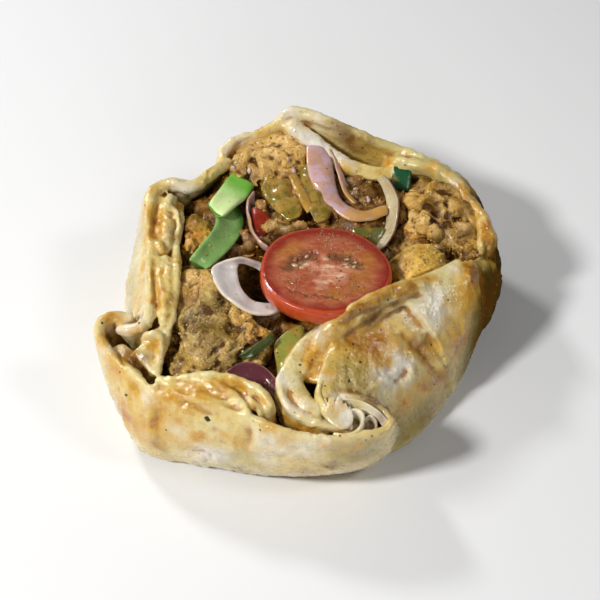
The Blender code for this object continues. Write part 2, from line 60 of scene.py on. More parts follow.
to_viewer = Vector((0.0, -math.cos(VIEW_ELEVATION), math.sin(VIEW_ELEVATION)))
view_up = Vector((0.0, math.sin(VIEW_ELEVATION), math.cos(VIEW_ELEVATION)))
camera = bpy.data.objects.new("camera", bpy.data.cameras.new("camera"))
bpy.context.scene.collection.objects.link(camera)
camera.data.lens, camera.data.sensor_width = LENS, SENSOR
camera.data.clip_start = 0.01
camera.data.shift_y = (PHOTO_MIDDLE_ROW - PHOTO_SIDE / 2) / PHOTO_SIDE
camera.location = VIEW_AIM + to_viewer * VIEW_DISTANCE
camera.rotation_mode = "QUATERNION"
camera.rotation_quaternion = (-to_viewer).to_track_quat("-Z", "Y")
bpy.context.scene.camera = camera


def sight(column, row):
    """Where the line of sight of this pixel of the photo starts, and its direction."""
    pixel = SENSOR / LENS / PHOTO_SIDE
    across = (column - PHOTO_SIDE / 2) * pixel
    upward = (PHOTO_MIDDLE_ROW - row) * pixel
    return camera.location, (-to_viewer + Vector((across, 0, 0)) + view_up * upward).normalized()


def at(column, row, height):
    """The place on this pixel's line of sight at this height. Both are in millimetres."""
    start, ahead = sight(column, row)
    return (start + ahead * ((height * MM - start.z) / ahead.z)) / MM


# The bread. Parotta dough is oiled, pleated and coiled, so it is a stack of soft plies. Here it is gathered
# around the filling, with puffy rolled edges, pinched pleats, and stains where masala and oil have run.

WELD = 0.004
BREAD_VOXEL = 0.9
BREAD_TRIANGLES = 190000


def smooth_row(points, count, closed=False):
    """count points of the Catmull-Rom curve through these points."""
    size = len(points)
    spans = size if closed else size - 1
    row = []
    for i in range(count):
        t = spans * i / (count if closed else count - 1)
        k = min(int(t), spans - 1)
        f = t - k
        near = [j % size if closed else min(max(j, 0), size - 1) for j in (k - 1, k, k + 1, k + 2)]
        a, b, c, d = (Vector(points[j]) for j in near)
        bend = (2 * a - 5 * b + 4 * c - d) * f ** 2
        row.append(0.5 * (2 * b + (c - a) * f + bend + (3 * b - a - 3 * c + d) * f ** 3))
    return row


# The lengths of a ply's waves across it and up it, and how fast its torn edge changes along it.
SWAY_LENGTH, LIFT_LENGTH, TEAR_PACE = 7, 9, 0.8


def band(upper, lower, thickness, belly=0.0, closed=False, step=1.2, around=20, blunt=0.6, wave=0.0,
         ragged=0.0):
    """A flattened tube between an upper and a lower edge, like a thick ply or a strip of vegetable. UV runs
    along it, and round its section from the lower edge over the outer side. Its upper edge may be ragged."""
    length = sum((Vector(b) - Vector(a)).length for a, b in zip(upper, upper[1:]))
    count = max(8, round(length / step))
    top, bottom = smooth_row(upper, count, closed), smooth_row(lower, count, closed)
    outwards = []
    for i in range(count):
        after, before = ((i + 1) % count, i - 1) if closed else (min(i + 1, count - 1), max(i - 1, 0))
        tangent = top[after] - top[before] + bottom[after] - bottom[before]
        outwards.append((bottom[i] - top[i]).cross(tangent).normalized())
    if sum(n.x * p.x + n.y * p.y for n, p in zip(outwards, top)) < 0:
        outwards = [-n for n in outwards]
    mesh = bmesh.new()
    layer = mesh.loops.layers.uv.new("strip")
    rings = []
    for i in range(count):
        end = 1.0 if closed else min(1.0, (min(i, count - 1 - i) + 0.3) * length / count / thickness)
        taper = math.sqrt(1 - (1 - end) ** 2)
        down, middle = (bottom[i] - top[i]) / 2, (top[i] + bottom[i]) / 2
        ring = []
        for j in range(around):
            turn = math.tau * j / around
            c, s = math.cos(turn), math.sin(turn)
            flat = math.copysign(abs(c) ** blunt, c)
            side = math.copysign(abs(s) ** blunt, s) * thickness / 2 * taper
            bulge = belly * (1 - flat ** 2)
            if ragged and flat < 0:
                flat *= 1 + ragged * noise.noise(Vector((i * TEAR_PACE, 3.1, 0)))
            spot = middle + down * flat * (1 - (1 - taper) * 0.3) + outwards[i] * (side + bulge)
            if wave:
                lift = Vector((0, 0, wave * noise.noise(spot / LIFT_LENGTH)))
                spot += outwards[i] * wave * noise.noise(spot / SWAY_LENGTH) + lift
            ring.append(mesh.verts.new(spot * MM))
        rings.append(ring)
    last = count if closed else count - 1
    for i in range(last):
        for j in range(around):
            k = (j + 1) % around
            ring, following = rings[i], rings[(i + 1) % count]
            face = mesh.faces.new((ring[j], ring[k], following[k], following[j]))
            for loop, (u, v) in zip(face.loops, ((i, j), (i, j + 1), (i + 1, j + 1), (i + 1, j))):
                loop[layer].uv = (u / last, v / around)
    if not closed:
        for i in (0, count - 1):
            mesh.faces.new(rings[i])
        bmesh.ops.triangulate(mesh, faces=[f for f in mesh.faces if len(f.verts) > 4])
    bmesh.ops.recalc_face_normals(mesh, faces=mesh.faces)
    return mesh


def rolled_edge(points, radius):
    """The puffy edge of a ply: a soft tube along its top."""
    upper = [(x, y, z - 0.2 * radius) for x, y, z in points]
    lower = [(x, y, z - 2.2 * radius) for x, y, z in points]
    return band(upper, lower, 2 * radius, step=2.0, around=12, blunt=0.9)


def shown(name, mesh):
    """A new object in the scene with this bmesh, which is freed."""
    data = bpy.data.meshes.new(name)
    mesh.to_mesh(data)
    mesh.free()
    obj = bpy.data.objects.new(name, data)
    bpy.context.scene.collection.objects.link(obj)
    return obj


def settled(obj):
    """Applies the object's modifiers."""
    graph = bpy.context.evaluated_depsgraph_get()
    data = bpy.data.meshes.new_from_object(obj.evaluated_get(graph))
    obj.modifiers.clear()
    was = obj.data
    obj.data = data
    bpy.data.meshes.remove(was)
    return obj


def kneaded(name, node, voxel, smoothing, additions=()):
    """The solid of a node, with any additions, as one even fine mesh whose edges are rounded off."""
    mesh = bmesh.new()
    mesh.from_mesh(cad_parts[node].data)
    bmesh.ops.remove_doubles(mesh, verts=mesh.verts, dist=WELD * MM)
    for addition in additions:
        part = bpy.data.meshes.new("addition")
        addition.to_mesh(part)
        addition.free()
        mesh.from_mesh(part)
        bpy.data.meshes.remove(part)
    obj = shown(name, mesh)
    even = obj.modifiers.new("even", "REMESH")
    even.mode = "VOXEL"
    even.voxel_size = voxel * MM
    soft = obj.modifiers.new("soft", "SMOOTH")
    soft.factor = 0.5
    soft.iterations = smoothing
    return settled(obj)


ROLLED_EDGES = {
    "left": ([(-52, 45, 51), (-60, 45, 52), (-66, 37, 52), (-65, 22, 51), (-63, 3, 50), (-61, -16, 49),
              (-62, -27, 47), (-66, -33, 46), (-72, -34, 45), (-76, -31, 43)], 2.5),
    "back left": ([(-66, 41, 50), (-58, 45, 53), (-50, 44, 51), (-44, 49, 51), (-38, 56, 51),
                   (-31, 63, 49)], 2.4),
    "back": ([(-35, 63, 47), (-35, 68, 51), (-28, 74, 53), (-18, 77, 54), (-11, 80, 57), (-6, 83, 60),
              (2, 83, 61), (12, 79, 60), (23, 76, 57), (34, 73, 53), (46, 70, 50), (55, 65, 50),
              (66, 58, 49)], 2.4),
    "right": ([(58, 62, 49), (66, 58, 49), (73, 52, 47), (79, 44, 43), (82, 34, 39), (85, 24, 36)], 2.8),
    "corner": ([(-70, -28, 44), (-78, -28, 45), (-82, -31, 45), (-82, -38, 43), (-77, -45, 42),
                (-71, -51, 41), (-64, -57, 41)], 2.0),
    "pinched pleat": ([(-56, 38, 47), (-58, 33, 50), (-57, 26, 48), (-60, 20, 46)], 2.0),
    "left inner pleat": ([(-57, 22, 47), (-54, 14, 47), (-53, 4, 47), (-53, -8, 47), (-54, -20, 46)], 1.6),
}

# The top of the doubled hem on the right, by the photo's pixel and its height.
HEM = [
    (312, 332, 46.5), (322, 325, 49.5), (335, 317, 53), (350, 307, 56), (366, 298, 57.2), (382, 289, 57),
    (398, 283, 55), (414, 279, 51.5), (430, 275, 48.5), (444, 270, 47),
]
# Plies on edge, by the photo's pixel and the height of their top, with their thickness and their depth.
PLIES = {
    "back lip": ([(288, 117, 58.5), (297, 124, 57), (309, 132, 54.5), (321, 142, 52), (333, 151, 50),
                  (346, 160, 48.5), (360, 167, 47)], 7.5, 7),
    "white tube": ([(161, 206, 48.5), (164, 216, 50), (165, 228, 50), (163, 240, 48)], 4.2, 6),
    "yellow loop": ([(166, 204, 47), (173, 206, 49), (177, 214, 49.5), (178, 226, 48.5),
                     (173, 238, 46.5)], 2.2, 5),
    "tongue": ([(154, 237, 50), (159, 244, 50), (165, 252, 48)], 3, 4),
    "pleat top": ([(156, 261, 49), (165, 257, 49), (174, 260, 47)], 3, 5),
    "pleat edge": ([(173, 259, 47.5), (175, 272, 47.5), (176, 288, 47), (175, 300, 45)], 2.6, 6),
    "pleat ridge": ([(159, 266, 48.5), (165, 272, 48.5), (164, 284, 48.5), (167, 298, 47)], 2.4, 5),
    "knot": ([(142, 340, 43), (144, 333, 46), (152, 331, 47), (160, 334, 46), (161, 342, 44.5)], 2.8, 4),
    "pocket fold": ([(115, 343, 37), (122, 348, 40), (131, 354, 40), (137, 362, 38)], 7, 8),
    "roll loop": ([(300, 350, 44.5), (295, 364, 44.5), (294, 379, 44), (300, 392, 43.5), (311, 402, 43),
                   (324, 409, 42)], 7.6, 8),
    "roll floor": ([(338, 420, 38.5), (352, 424, 37.5), (364, 425, 37), (376, 421, 36.5)], 9, 6),
    "back right rim": ([(384, 158, 45), (393, 157, 48.5), (402, 158, 50), (418, 160, 50.5),
                        (432, 164, 50.5), (446, 171, 50), (458, 180, 49), (468, 191, 48)], 6.5, 8),
    "hem crest": (HEM, 3.6, 5),
    "right rim": ([(458, 188, 46), (468, 195, 47), (476, 205, 47.5), (482, 213, 48), (487, 222, 48.5),
                   (489, 234, 48), (491, 246, 46)], 8, 18),
    "right rim fold": ([(478, 216, 48), (481, 226, 48.5), (481, 238, 48), (484, 247, 46.5)], 3, 8),
    "ledge fold": ([(168, 389, 42), (182, 386, 43.5), (198, 389, 44), (212, 394, 43.5),
                    (224, 401, 42.5)], 2.6, 5),
    "ledge lip": ([(236, 391, 43), (246, 397, 43.5), (256, 404, 43), (262, 413, 41.5)], 3.0, 5),
    "right shoulder": ([(476, 261, 45), (484, 261, 45), (491, 263, 43), (495, 272, 38)], 7.5, 10),
    "right crevice": ([(482, 250, 40), (488, 251, 38), (493, 253, 35), (496, 257, 32)], 6, 9),
}
# Plies that lie flatter, between two edges.
FLAPS = {
    "front ledge": ([(-52, -60, 42), (-42, -61, 44), (-32, -63, 44.5), (-24, -68, 43), (-19, -75, 41.5)],
                    [(-54, -69, 39), (-43, -72, 40.5), (-33, -74.5, 40.5), (-25, -77, 40.8),
                     (-19, -80, 41)], 5),
    "pleat face": ([at(158, 264, 47.5), at(158, 285, 47.5), at(160, 308, 46), at(160, 328, 44)],
                   [at(171, 264, 47), at(172, 285, 46.5), at(171, 308, 45), at(168, 326, 43)], 4),
    "front hem": ([at(*pixel) for pixel in HEM],
                  [at(314, 350, 44), at(326, 345, 44.3), at(340, 338, 44.6), at(355, 330, 45),
                   at(370, 322, 45.4), at(386, 313, 45.8), at(402, 305, 46.2), at(418, 297, 46.5),
                   at(433, 290, 46.6), at(447, 283, 46.6)], 4.2),
    "upper pleat face": ([at(152, 194, 47), at(151, 214, 46.5), at(152, 234, 46.5), at(154, 254, 46.5)],
                         [at(176, 205, 46), at(176, 220, 45.5), at(173, 236, 45.5), at(169, 252, 46)], 5),
}


def on_edge(pixels, thickness, depth, **form):
    """A ply on edge whose top runs through these pixels at these heights."""
    ridge = [at(*pixel) for pixel in pixels]
    return band(ridge, [p - Vector((0, 0, depth)) for p in ridge], thickness, **form)


FULL_WAVE_THICKNESS = 6
additions = [rolled_edge(points, radius) for points, radius in ROLLED_EDGES.values()]
for pixels, thickness, depth in PLIES.values():
    wave = min(1.0, thickness / FULL_WAVE_THICKNESS)
    additions.append(on_edge(pixels, thickness, depth, step=1.5, around=14, blunt=0.8, wave=wave))
additions += [band(upper, lower, thickness) for upper, lower, thickness in FLAPS.values()]
bread = kneaded("bread", "parotta", BREAD_VOXEL, 4, additions)


def vertex_array(obj):
    """The places of the vertices, in millimetres."""
    places = np.empty(len(obj.data.vertices) * 3)
    obj.data.vertices.foreach_get("co", places)
    return places.reshape(-1, 3) / MM


def normal_array(obj):
    normals = np.empty(len(obj.data.vertices) * 3)
    obj.data.vertex_normals.foreach_get("vector", normals)
    return normals.reshape(-1, 3)


def move_to(obj, places):
    obj.data.vertices.foreach_set("co", (places * MM).ravel())
    obj.data.update()


def distance_to(places, path):
    """How far each place is from a path of straight stretches, and how far along it the nearest point is."""
    nearest, along = np.full(len(places), 1e9), np.zeros(len(places))
    spans = len(path) - 1
    for i in range(spans):
        a, b = np.array(path[i]), np.array(path[i + 1])
        t = np.clip((places - a) @ (b - a) / max((b - a) @ (b - a), 1e-9), 0, 1)
        d = np.linalg.norm(places - a - t[:, None] * (b - a), axis=1)
        closer = d < nearest
        nearest[closer], along[closer] = d[closer], ((i + t) / spans)[closer]
    return nearest, along


def seen_on(tree, pixels):
    """The places, in millimetres, where the photo's pixels look at the surface in this tree."""
    hits = [tree.ray_cast(*sight(*pixel))[0] for pixel in pixels]
    return [tuple(hit / MM) for hit in hits if hit is not None]


# Creases of the bread by the photo's pixels that they pass through, each with its width and its height in
# millimetres. A groove has a height below zero.
CREASES = [
    ([(157, 210), (155, 222), (156, 238)], 2.0, -2.4),
    ([(168, 214), (170, 228), (167, 242)], 1.8, 1.2),
    ([(157, 240), (161, 249), (165, 258)], 1.4, 1.2),
    ([(154, 262), (155, 285), (157, 305), (158, 326)], 1.2, -1.6),
    ([(164, 262), (163, 275), (166, 288)], 1.3, -1.0),
    ([(176, 258), (177, 275), (177, 294)], 1.5, 1.3),
    ([(171, 300), (169, 318), (165, 332)], 1.6, -1.0),
    ([(106, 334), (112, 340), (118, 345)], 0.7, -0.7),
    ([(129, 378), (134, 386), (139, 395)], 1.3, -1.4),
    ([(156, 404), (158, 416), (158, 430)], 1.6, -1.6),
    ([(149, 410), (151, 424), (152, 440)], 2.4, 1.2),
    ([(190, 412), (204, 415), (218, 415)], 1.4, -1.2),
    ([(165, 385), (176, 393), (190, 400), (205, 404)], 1.6, 1.2),
    ([(178, 402), (190, 408), (206, 408)], 1.3, -0.9),
    ([(222, 404), (238, 408), (254, 413)], 1.6, -2.0),
    ([(394, 321), (405, 329), (416, 339)], 1.5, 1.2),
    ([(396, 328), (412, 341), (425, 354), (436, 372), (445, 386)], 2.6, -2.2),
    ([(410, 362), (411, 374), (404, 384)], 1.6, 1.0),
    ([(428, 352), (440, 365), (448, 378)], 2.2, 1.2),
    ([(372, 388), (384, 380), (398, 372)], 1.8, 0.9),
    ([(462, 262), (464, 276), (462, 292)], 2.4, 1.0),
    ([(478, 262), (484, 280), (486, 300)], 2.6, -1.4),
    ([(330, 122), (345, 132), (360, 142)], 2.6, -1.6),
    ([(232, 150), (244, 142), (256, 138)], 2.0, -1.2),
    ([(182, 196), (196, 200), (212, 192)], 2.0, -1.2),
    ([(170, 188), (176, 194), (174, 204)], 1.4, -1.2),
    ([(290, 350), (284, 366), (281, 384)], 1.2, -0.7),
    ([(165, 445), (200, 452), (240, 458), (280, 458)], 3.0, -0.8),
    ([(290, 446), (325, 452), (358, 446)], 2.4, -0.7),
    ([(345, 338), (365, 322), (382, 311), (398, 302), (418, 293)], 1.3, -1.7),
    ([(352, 329), (375, 311), (400, 296), (425, 284), (450, 273)], 2.6, 1.1),
    ([(470, 268), (470, 285), (466, 310), (458, 335)], 4.0, 1.3),
    ([(484, 272), (488, 292), (484, 318)], 3.5, -1.8),
    ([(252, 424), (250, 436), (246, 452)], 1.8, -1.0),
    ([(262, 422), (262, 436), (258, 452)], 3.0, 0.9),
    ([(170, 396), (184, 401), (199, 405), (213, 407)], 1.3, -1.1),
    ([(180, 385), (196, 388), (212, 391), (228, 398)], 1.5, -0.9),
    ([(190, 393), (206, 397), (222, 401)], 1.6, 0.9),
    ([(120, 380), (126, 394), (130, 410)], 2.0, 0.9),
    ([(139, 200), (137, 240), (130, 290)], 3.5, 0.8),
    ([(146, 215), (145, 250), (141, 290)], 2.5, -0.8),
    ([(172, 380), (182, 379), (196, 381), (208, 386)], 1.1, -1.5),
    ([(168, 389), (180, 390), (192, 394)], 1.0, -1.4),
    ([(206, 390), (216, 396), (226, 398), (236, 396)], 1.1, -1.6),
    ([(228, 386), (238, 390), (246, 397), (250, 406)], 1.2, -1.7),
    ([(214, 384), (222, 390), (232, 391)], 1.0, -1.2),
    ([(176, 409), (186, 404), (198, 411), (210, 411)], 1.1, -1.3),
    ([(130, 352), (136, 360), (146, 370)], 1.3, -1.6),
    ([(118, 352), (124, 362), (128, 374)], 1.4, -1.2),
    ([(345, 322), (360, 315), (376, 309), (392, 303)], 1.2, -1.8),
    ([(352, 333), (368, 326), (384, 319)], 1.6, 1.0),
]


def surface_tree(obj):
    return BVHTree.FromObject(obj, bpy.context.evaluated_depsgraph_get())


def add_creases(push, places, tree, creases):
    """Adds the creases, which fade out towards their ends, to how far each place is pushed out."""
    for pixels, width, height in creases:
        path = seen_on(tree, pixels)
        if len(path) > 1:
            far, along = distance_to(places, path)
            push += height * np.exp(-((far / width) ** 2)) * np.sin(math.pi * (0.12 + 0.76 * along))


def wrinkled(obj):
    """Presses the creases and the finer unevenness of the dough into its surface: broad folds and narrow
    pinches, which only some parts have, and fine bumps, each with its depth and its length."""
    places, normals = vertex_array(obj), normal_array(obj)
    push = np.zeros(len(places))
    add_creases(push, places, surface_tree(obj), CREASES)
    uneven = np.empty(len(places))
    for i, spot in enumerate(places):
        p = Vector(spot)
        flow = p + noise.noise_vector(p / 11) * 5
        fold = noise.noise(Vector((flow.x / 9, flow.y / 9, flow.z / 15)))
        pinch = noise.noise(Vector((flow.x / 4.5, flow.y / 4.5, flow.z / 8)) + Vector((9, 4, 0)))
        fine = noise.fractal(p / 3.2, 0.7, 2.0, 3)
        uneven[i] = (
            0.8 * (1 - abs(fold) * 2.4) * max(0, noise.noise(p / 22) + 0.35)
            + 0.7 * (1 - abs(pinch) * 3.2) * max(0, noise.noise(p / 14 + Vector((0, 6, 0))) + 0.15)
            + 0.28 * fine
        )
    push += uneven
    move_to(obj, places + normals * push[:, None])


def thinned(obj, triangles):
    """Fewer triangles where the surface is even."""
    obj.data.calc_loop_triangles()
    fewer = obj.modifiers.new("fewer", "DECIMATE")
    fewer.ratio = min(1.0, triangles / len(obj.data.loop_triangles))
    return settled(obj)


wrinkled(bread)
thinned(bread, BREAD_TRIANGLES)
# The base lies flat.
move_to(bread, np.maximum(vertex_array(bread), (-np.inf, -np.inf, 0.0)))


def hollows(obj, rounds):
    """How hollow the surface is at each vertex, from 0 on ridges to 1 in creases."""
    places, normals = vertex_array(obj), normal_array(obj)
    edges = np.empty(len(obj.data.edges) * 2, dtype=int)
    obj.data.edges.foreach_get("vertices", edges)
    a, b = edges.reshape(-1, 2).T
    size = len(places)
    share = np.bincount(a, minlength=size) + np.bincount(b, minlength=size)

    def mean_around(values):
        return (np.bincount(a, values[b], size) + np.bincount(b, values[a], size)) / share

    wide = list(places.T)
    for _ in range(rounds):
        wide = [mean_around(values) for values in wide]
    hollow = ((np.array(wide).T - places) * normals).sum(axis=1)
    for _ in range(2):
        hollow = mean_around(hollow)
    return np.clip(hollow / (2.0 * hollow.std() + 1e-9), -1, 1) * 0.5 + 0.5


# Stains, and painted shade and sheen, by the photo's pixel at their middle, their radius in millimetres and
# their strength.
DAUBS = {
    "orange": [
        (160, 232, 5, 0.5), (157, 222, 5, 1.0), (156, 236, 3, 0.9), (152, 188, 5, 0.5), (180, 205, 4, 0.7),
        (163, 248, 4, 0.6), (155, 275, 3, 0.9), (156, 300, 3, 0.9), (158, 322, 3, 0.9), (170, 300, 4, 0.5),
        (180, 262, 5, 0.5), (176, 330, 3, 0.7), (108, 318, 4, 0.8), (120, 318, 3, 0.6), (118, 372, 5, 0.6),
        (112, 398, 7, 0.5), (126, 412, 6, 0.7), (140, 432, 6, 0.5), (157, 420, 4, 0.9), (155, 446, 4, 0.6),
        (130, 360, 5, 0.8), (118, 340, 4, 0.5), (167, 394, 4, 0.7), (190, 388, 4, 0.6), (205, 395, 5, 0.6),
        (240, 388, 4, 0.7), (178, 420, 3, 0.6), (197, 437, 3, 0.7), (226, 436, 3, 0.6), (190, 410, 4, 0.5),
        (220, 412, 3, 0.4), (284, 418, 4, 1.0), (296, 427, 3, 1.0), (310, 431, 3, 0.9), (326, 434, 3, 0.7),
        (341, 433, 3, 0.5), (278, 404, 3, 0.8), (314, 352, 4, 0.9), (311, 366, 4, 0.9), (308, 378, 3, 0.7),
        (374, 343, 8, 1.0), (360, 348, 6, 0.7), (348, 336, 5, 0.7), (340, 350, 5, 0.4), (385, 332, 5, 0.6),
        (412, 346, 5, 0.8), (424, 358, 4, 0.9), (424, 386, 5, 0.8), (438, 380, 5, 0.8), (462, 340, 6, 0.7),
        (472, 268, 5, 0.9), (474, 282, 5, 0.8), (474, 296, 4, 0.5), (400, 296, 4, 0.5), (412, 288, 4, 0.5),
        (370, 312, 5, 0.5), (345, 320, 3, 0.4), (404, 402, 6, 0.7), (385, 432, 4, 0.2), (232, 153, 3, 0.8),
        (388, 163, 4, 0.8), (345, 170, 4, 0.6), (330, 120, 4, 0.3), (262, 132, 4, 0.5), (200, 205, 5, 0.9),
        (222, 180, 4, 0.4), (440, 162, 3, 0.4), (160, 345, 3, 0.6), (154, 362, 3, 0.3), (270, 372, 3, 0.5),
        (300, 336, 3, 0.5), (295, 396, 3, 0.2), (330, 372, 3, 0.5), (250, 408, 3, 0.6), (418, 322, 4, 0.3),
        (478, 212, 4, 0.6), (488, 224, 4, 1.0), (490, 238, 4, 1.0), (484, 230, 3, 0.6), (492, 262, 4, 0.8),
        (205, 388, 4, 0.7), (225, 386, 4, 0.8), (180, 398, 4, 0.7), (160, 408, 4, 0.8), (135, 388, 4, 0.7),
        (104, 340, 5, 0.6), (108, 365, 5, 0.5), (140, 300, 6, 0.4), (128, 420, 5, 0.7), (148, 235, 4, 0.5),
        (436, 345, 4, 0.5), (452, 325, 5, 0.4), (446, 300, 3, 0.4), (330, 340, 3, 0.6), (268, 398, 3, 0.5),
        (340, 320, 4, 0.6), (352, 312, 4, 0.8), (366, 305, 4, 0.9), (380, 297, 4, 0.9), (396, 290, 4, 0.9),
        (412, 284, 4, 0.9), (428, 278, 4, 0.8), (330, 330, 3, 0.4), (464, 290, 6, 0.5), (466, 310, 6, 0.5),
        (456, 345, 6, 0.6), (430, 168, 4, 0.6), (448, 176, 3, 0.4), (464, 190, 4, 0.8), (474, 202, 4, 0.6),
        (120, 405, 5, 0.5), (146, 425, 4, 0.5), (208, 440, 5, 0.4), (242, 446, 5, 0.5), (268, 424, 5, 0.5),
        (330, 446, 5, 0.4), (356, 446, 5, 0.5), (148, 210, 4, 0.5), (144, 268, 4, 0.5), (134, 300, 4, 0.5),
        (160, 290, 3, 0.8), (164, 272, 2, 0.7), (172, 236, 2, 0.8), (168, 318, 2, 0.8), (150, 345, 3, 0.8),
        (334, 412, 2, 0.6), (341, 404, 2, 0.5), (326, 400, 3, 0.4), (126, 230, 6, 0.4), (128, 270, 6, 0.4),
        (136, 330, 5, 0.5), (162, 436, 5, 0.5), (186, 446, 5, 0.4), (284, 440, 5, 0.4), (384, 356, 5, 0.4),
    ],
    # pale: paler raw dough, and painted sheen where the wet dough catches the light.
    "pale": [
        (205, 452, 8, 0.9), (222, 454, 5, 0.6), (270, 442, 7, 0.6), (300, 450, 7, 0.6), (325, 440, 6, 0.4),
        (265, 458, 5, 0.6), (178, 428, 4, 0.5), (150, 398, 4, 0.6), (138, 232, 4, 0.5), (136, 262, 3, 0.3),
        (169, 233, 3, 1.0), (182, 190, 5, 0.9), (192, 193, 4, 0.8), (130, 325, 6, 0.9), (118, 325, 4, 0.9),
        (436, 300, 6, 0.8), (440, 313, 5, 0.8), (432, 322, 4, 0.6), (322, 334, 4, 0.6), (313, 344, 4, 0.5),
        (456, 268, 3, 0.6),
        (348, 414, 6, 0.8), (340, 400, 4, 0.8), (382, 424, 6, 0.8), (372, 412, 5, 0.6), (392, 370, 8, 0.9),
        (402, 362, 5, 0.9), (385, 378, 5, 0.7), (312, 142, 6, 1.0), (328, 148, 6, 1.0), (297, 136, 5, 0.9),
        (228, 150, 4, 0.5), (240, 138, 5, 0.6), (292, 112, 5, 0.6), (318, 118, 6, 0.5), (284, 380, 4, 0.7),
        (290, 405, 5, 0.6), (305, 412, 4, 0.5), (108, 345, 4, 0.7), (350, 428, 4, 0.6), (459, 184, 3, 0.6),
        (285, 110, 4, 0.5), (344, 158, 4, 0.9), (415, 312, 5, 0.5), (320, 375, 3, 0.7), (154, 352, 4, 0.4),
    ],
    # brown: browned crust and crumbs, and painted shade in the crevices, the corner pocket, the back lip and
    # along the base.
    "brown": [
        (372, 318, 3, 1.0), (382, 311, 2, 0.9), (364, 323, 2, 0.9), (395, 303, 2, 0.9), (352, 332, 2, 0.8),
        (345, 340, 3, 0.5), (420, 346, 4, 0.8), (430, 358, 3, 0.6), (377, 402, 6, 1.0), (388, 408, 5, 0.9),
        (365, 398, 5, 0.6), (398, 418, 4, 0.4), (130, 352, 4, 0.8), (142, 362, 4, 0.8), (155, 446, 3, 0.5),
        (345, 132, 5, 0.9), (352, 142, 5, 1.0), (362, 150, 4, 0.7), (335, 122, 4, 0.5), (478, 275, 5, 0.7),
        (484, 292, 6, 0.7), (335, 466, 4, 0.7), (305, 472, 4, 0.6), (360, 455, 4, 0.4), (468, 338, 4, 0.6),
        (456, 350, 3, 0.5), (432, 384, 3, 0.4), (208, 200, 5, 0.4), (240, 470, 4, 0.5), (345, 110, 3, 0.2),
        (254, 410, 2, 0.8), (312, 386, 3, 0.8), (348, 372, 2, 0.6), (370, 142, 4, 0.5), (475, 200, 3, 0.6),
        (360, 306, 2, 0.8), (350, 313, 2, 0.8), (340, 322, 2, 0.7), (388, 300, 2, 0.7), (491, 244, 3, 0.7),
        (488, 252, 3, 0.9), (494, 254, 3, 0.8), (489, 228, 2, 0.5), (486, 312, 7, 0.6), (476, 340, 6, 0.5),
        (498, 280, 5, 0.6), (430, 410, 6, 0.4), (367, 427, 4, 0.8), (376, 424, 4, 0.7), (150, 382, 3, 0.8),
        (358, 316, 2, 0.9), (368, 311, 2.4, 0.9), (378, 305, 2, 0.8), (348, 322, 2, 0.7), (406, 292, 2, 0.6),
        (420, 340, 3, 0.7), (446, 374, 4, 0.6), (458, 187, 2.4, 0.7), (468, 196, 2, 0.5), (120, 352, 3, 0.5),
    ],
    # olive_shade: painted shade with a green cast, mostly on the right side and low on the walls.
    "olive_shade": [
        (488, 300, 10, 0.9), (478, 335, 10, 0.8), (465, 365, 9, 0.7), (445, 395, 8, 0.7), (420, 420, 9, 0.8),
        (400, 440, 8, 0.7), (500, 268, 6, 0.8), (375, 455, 8, 0.5),
        (130, 310, 5, 0.8), (133, 290, 5, 0.4), (246, 440, 3, 0.5), (248, 455, 3, 0.5), (345, 455, 8, 0.6),
        (370, 448, 6, 0.7), (400, 430, 8, 0.7), (420, 410, 8, 0.5), (440, 385, 7, 0.4), (480, 330, 8, 0.6),
        (495, 290, 8, 0.6), (157, 446, 4, 0.7), (360, 125, 4, 0.4), (294, 114, 2, 0.4), (205, 190, 5, 0.5),
        (330, 355, 5, 0.3), (350, 380, 6, 0.3), (430, 340, 5, 0.2), (470, 360, 8, 0.5), (140, 205, 4, 0.3),
        (420, 165, 6, 0.7), (440, 172, 6, 0.8), (456, 183, 6, 0.8), (470, 198, 6, 0.8), (392, 150, 6, 0.6),
        (336, 366, 5, 0.4), (360, 372, 5, 0.4), (412, 318, 4, 0.4), (448, 288, 4, 0.3), (230, 458, 7, 0.5),
        (258, 462, 6, 0.4), (134, 250, 7, 0.4), (132, 280, 7, 0.4), (300, 388, 5, 0.4), (376, 146, 6, 0.5),
        (330, 420, 4, 0.6), (346, 422, 3, 0.5), (338, 410, 3, 0.3), (142, 230, 5, 0.4), (302, 376, 4, 0.4),
    ],
}


def attribute(obj, name, values):
    made = obj.data.attributes.new(name, "FLOAT", "POINT")
    made.data.foreach_set("value", np.clip(values, 0, 1).astype(np.float32))


# How ragged the edges of the marks are, in millimetres, and the length of their bends.
RAGGED_DEPTH, RAGGED_LENGTH = 2.6, 5


def stained(obj, daubs):
    """Paints each kind of mark, stains and painted shade and sheen alike, into an attribute of its name, with
    ragged edges, and returns the values.
    """
    tree = surface_tree(obj)
    places = vertex_array(obj)
    paint = {}
    bends = [noise.turbulence_vector(Vector(p) / RAGGED_LENGTH, 4, False)[:] for p in places]
    ragged = np.array(bends) * RAGGED_DEPTH
    for kind, spots in daubs.items():
        clear = np.ones(len(places))
        for column, row, radius, strength in spots:
            hit = seen_on(tree, [(column, row)])
            if hit:
                far = np.linalg.norm(places + ragged - np.array(hit[0]), axis=1)
                clear *= 1 - strength * np.exp(-((far / radius) ** 2))
        paint[kind] = 1 - clear
        attribute(obj, kind, paint[kind])
    return paint


stained(bread, DAUBS)
attribute(bread, "crease", hollows(bread, 4))
# Painted shade: the right side turns away from the light and is painted darker than the rest. The shade grows
# over this width from its left edge, and fades out below its top.
SHADE_LEFT, SHADE_WIDTH, SHADE_TOP, SHADE_FADE = 66, 14, 50, 8
bread_places, facing_right = vertex_array(bread), normal_array(bread)[:, 0]
shade_on_right = np.clip((bread_places[:, 0] - SHADE_LEFT) / SHADE_WIDTH, 0, 1)
shade_on_right = shade_on_right * np.clip((facing_right + 0.1) / 0.5, 0, 1)
attribute(bread, "right_side_shade", shade_on_right * np.clip((SHADE_TOP - bread_places[:, 2]) / SHADE_FADE, 0, 1))
bread.data.shade_smooth()


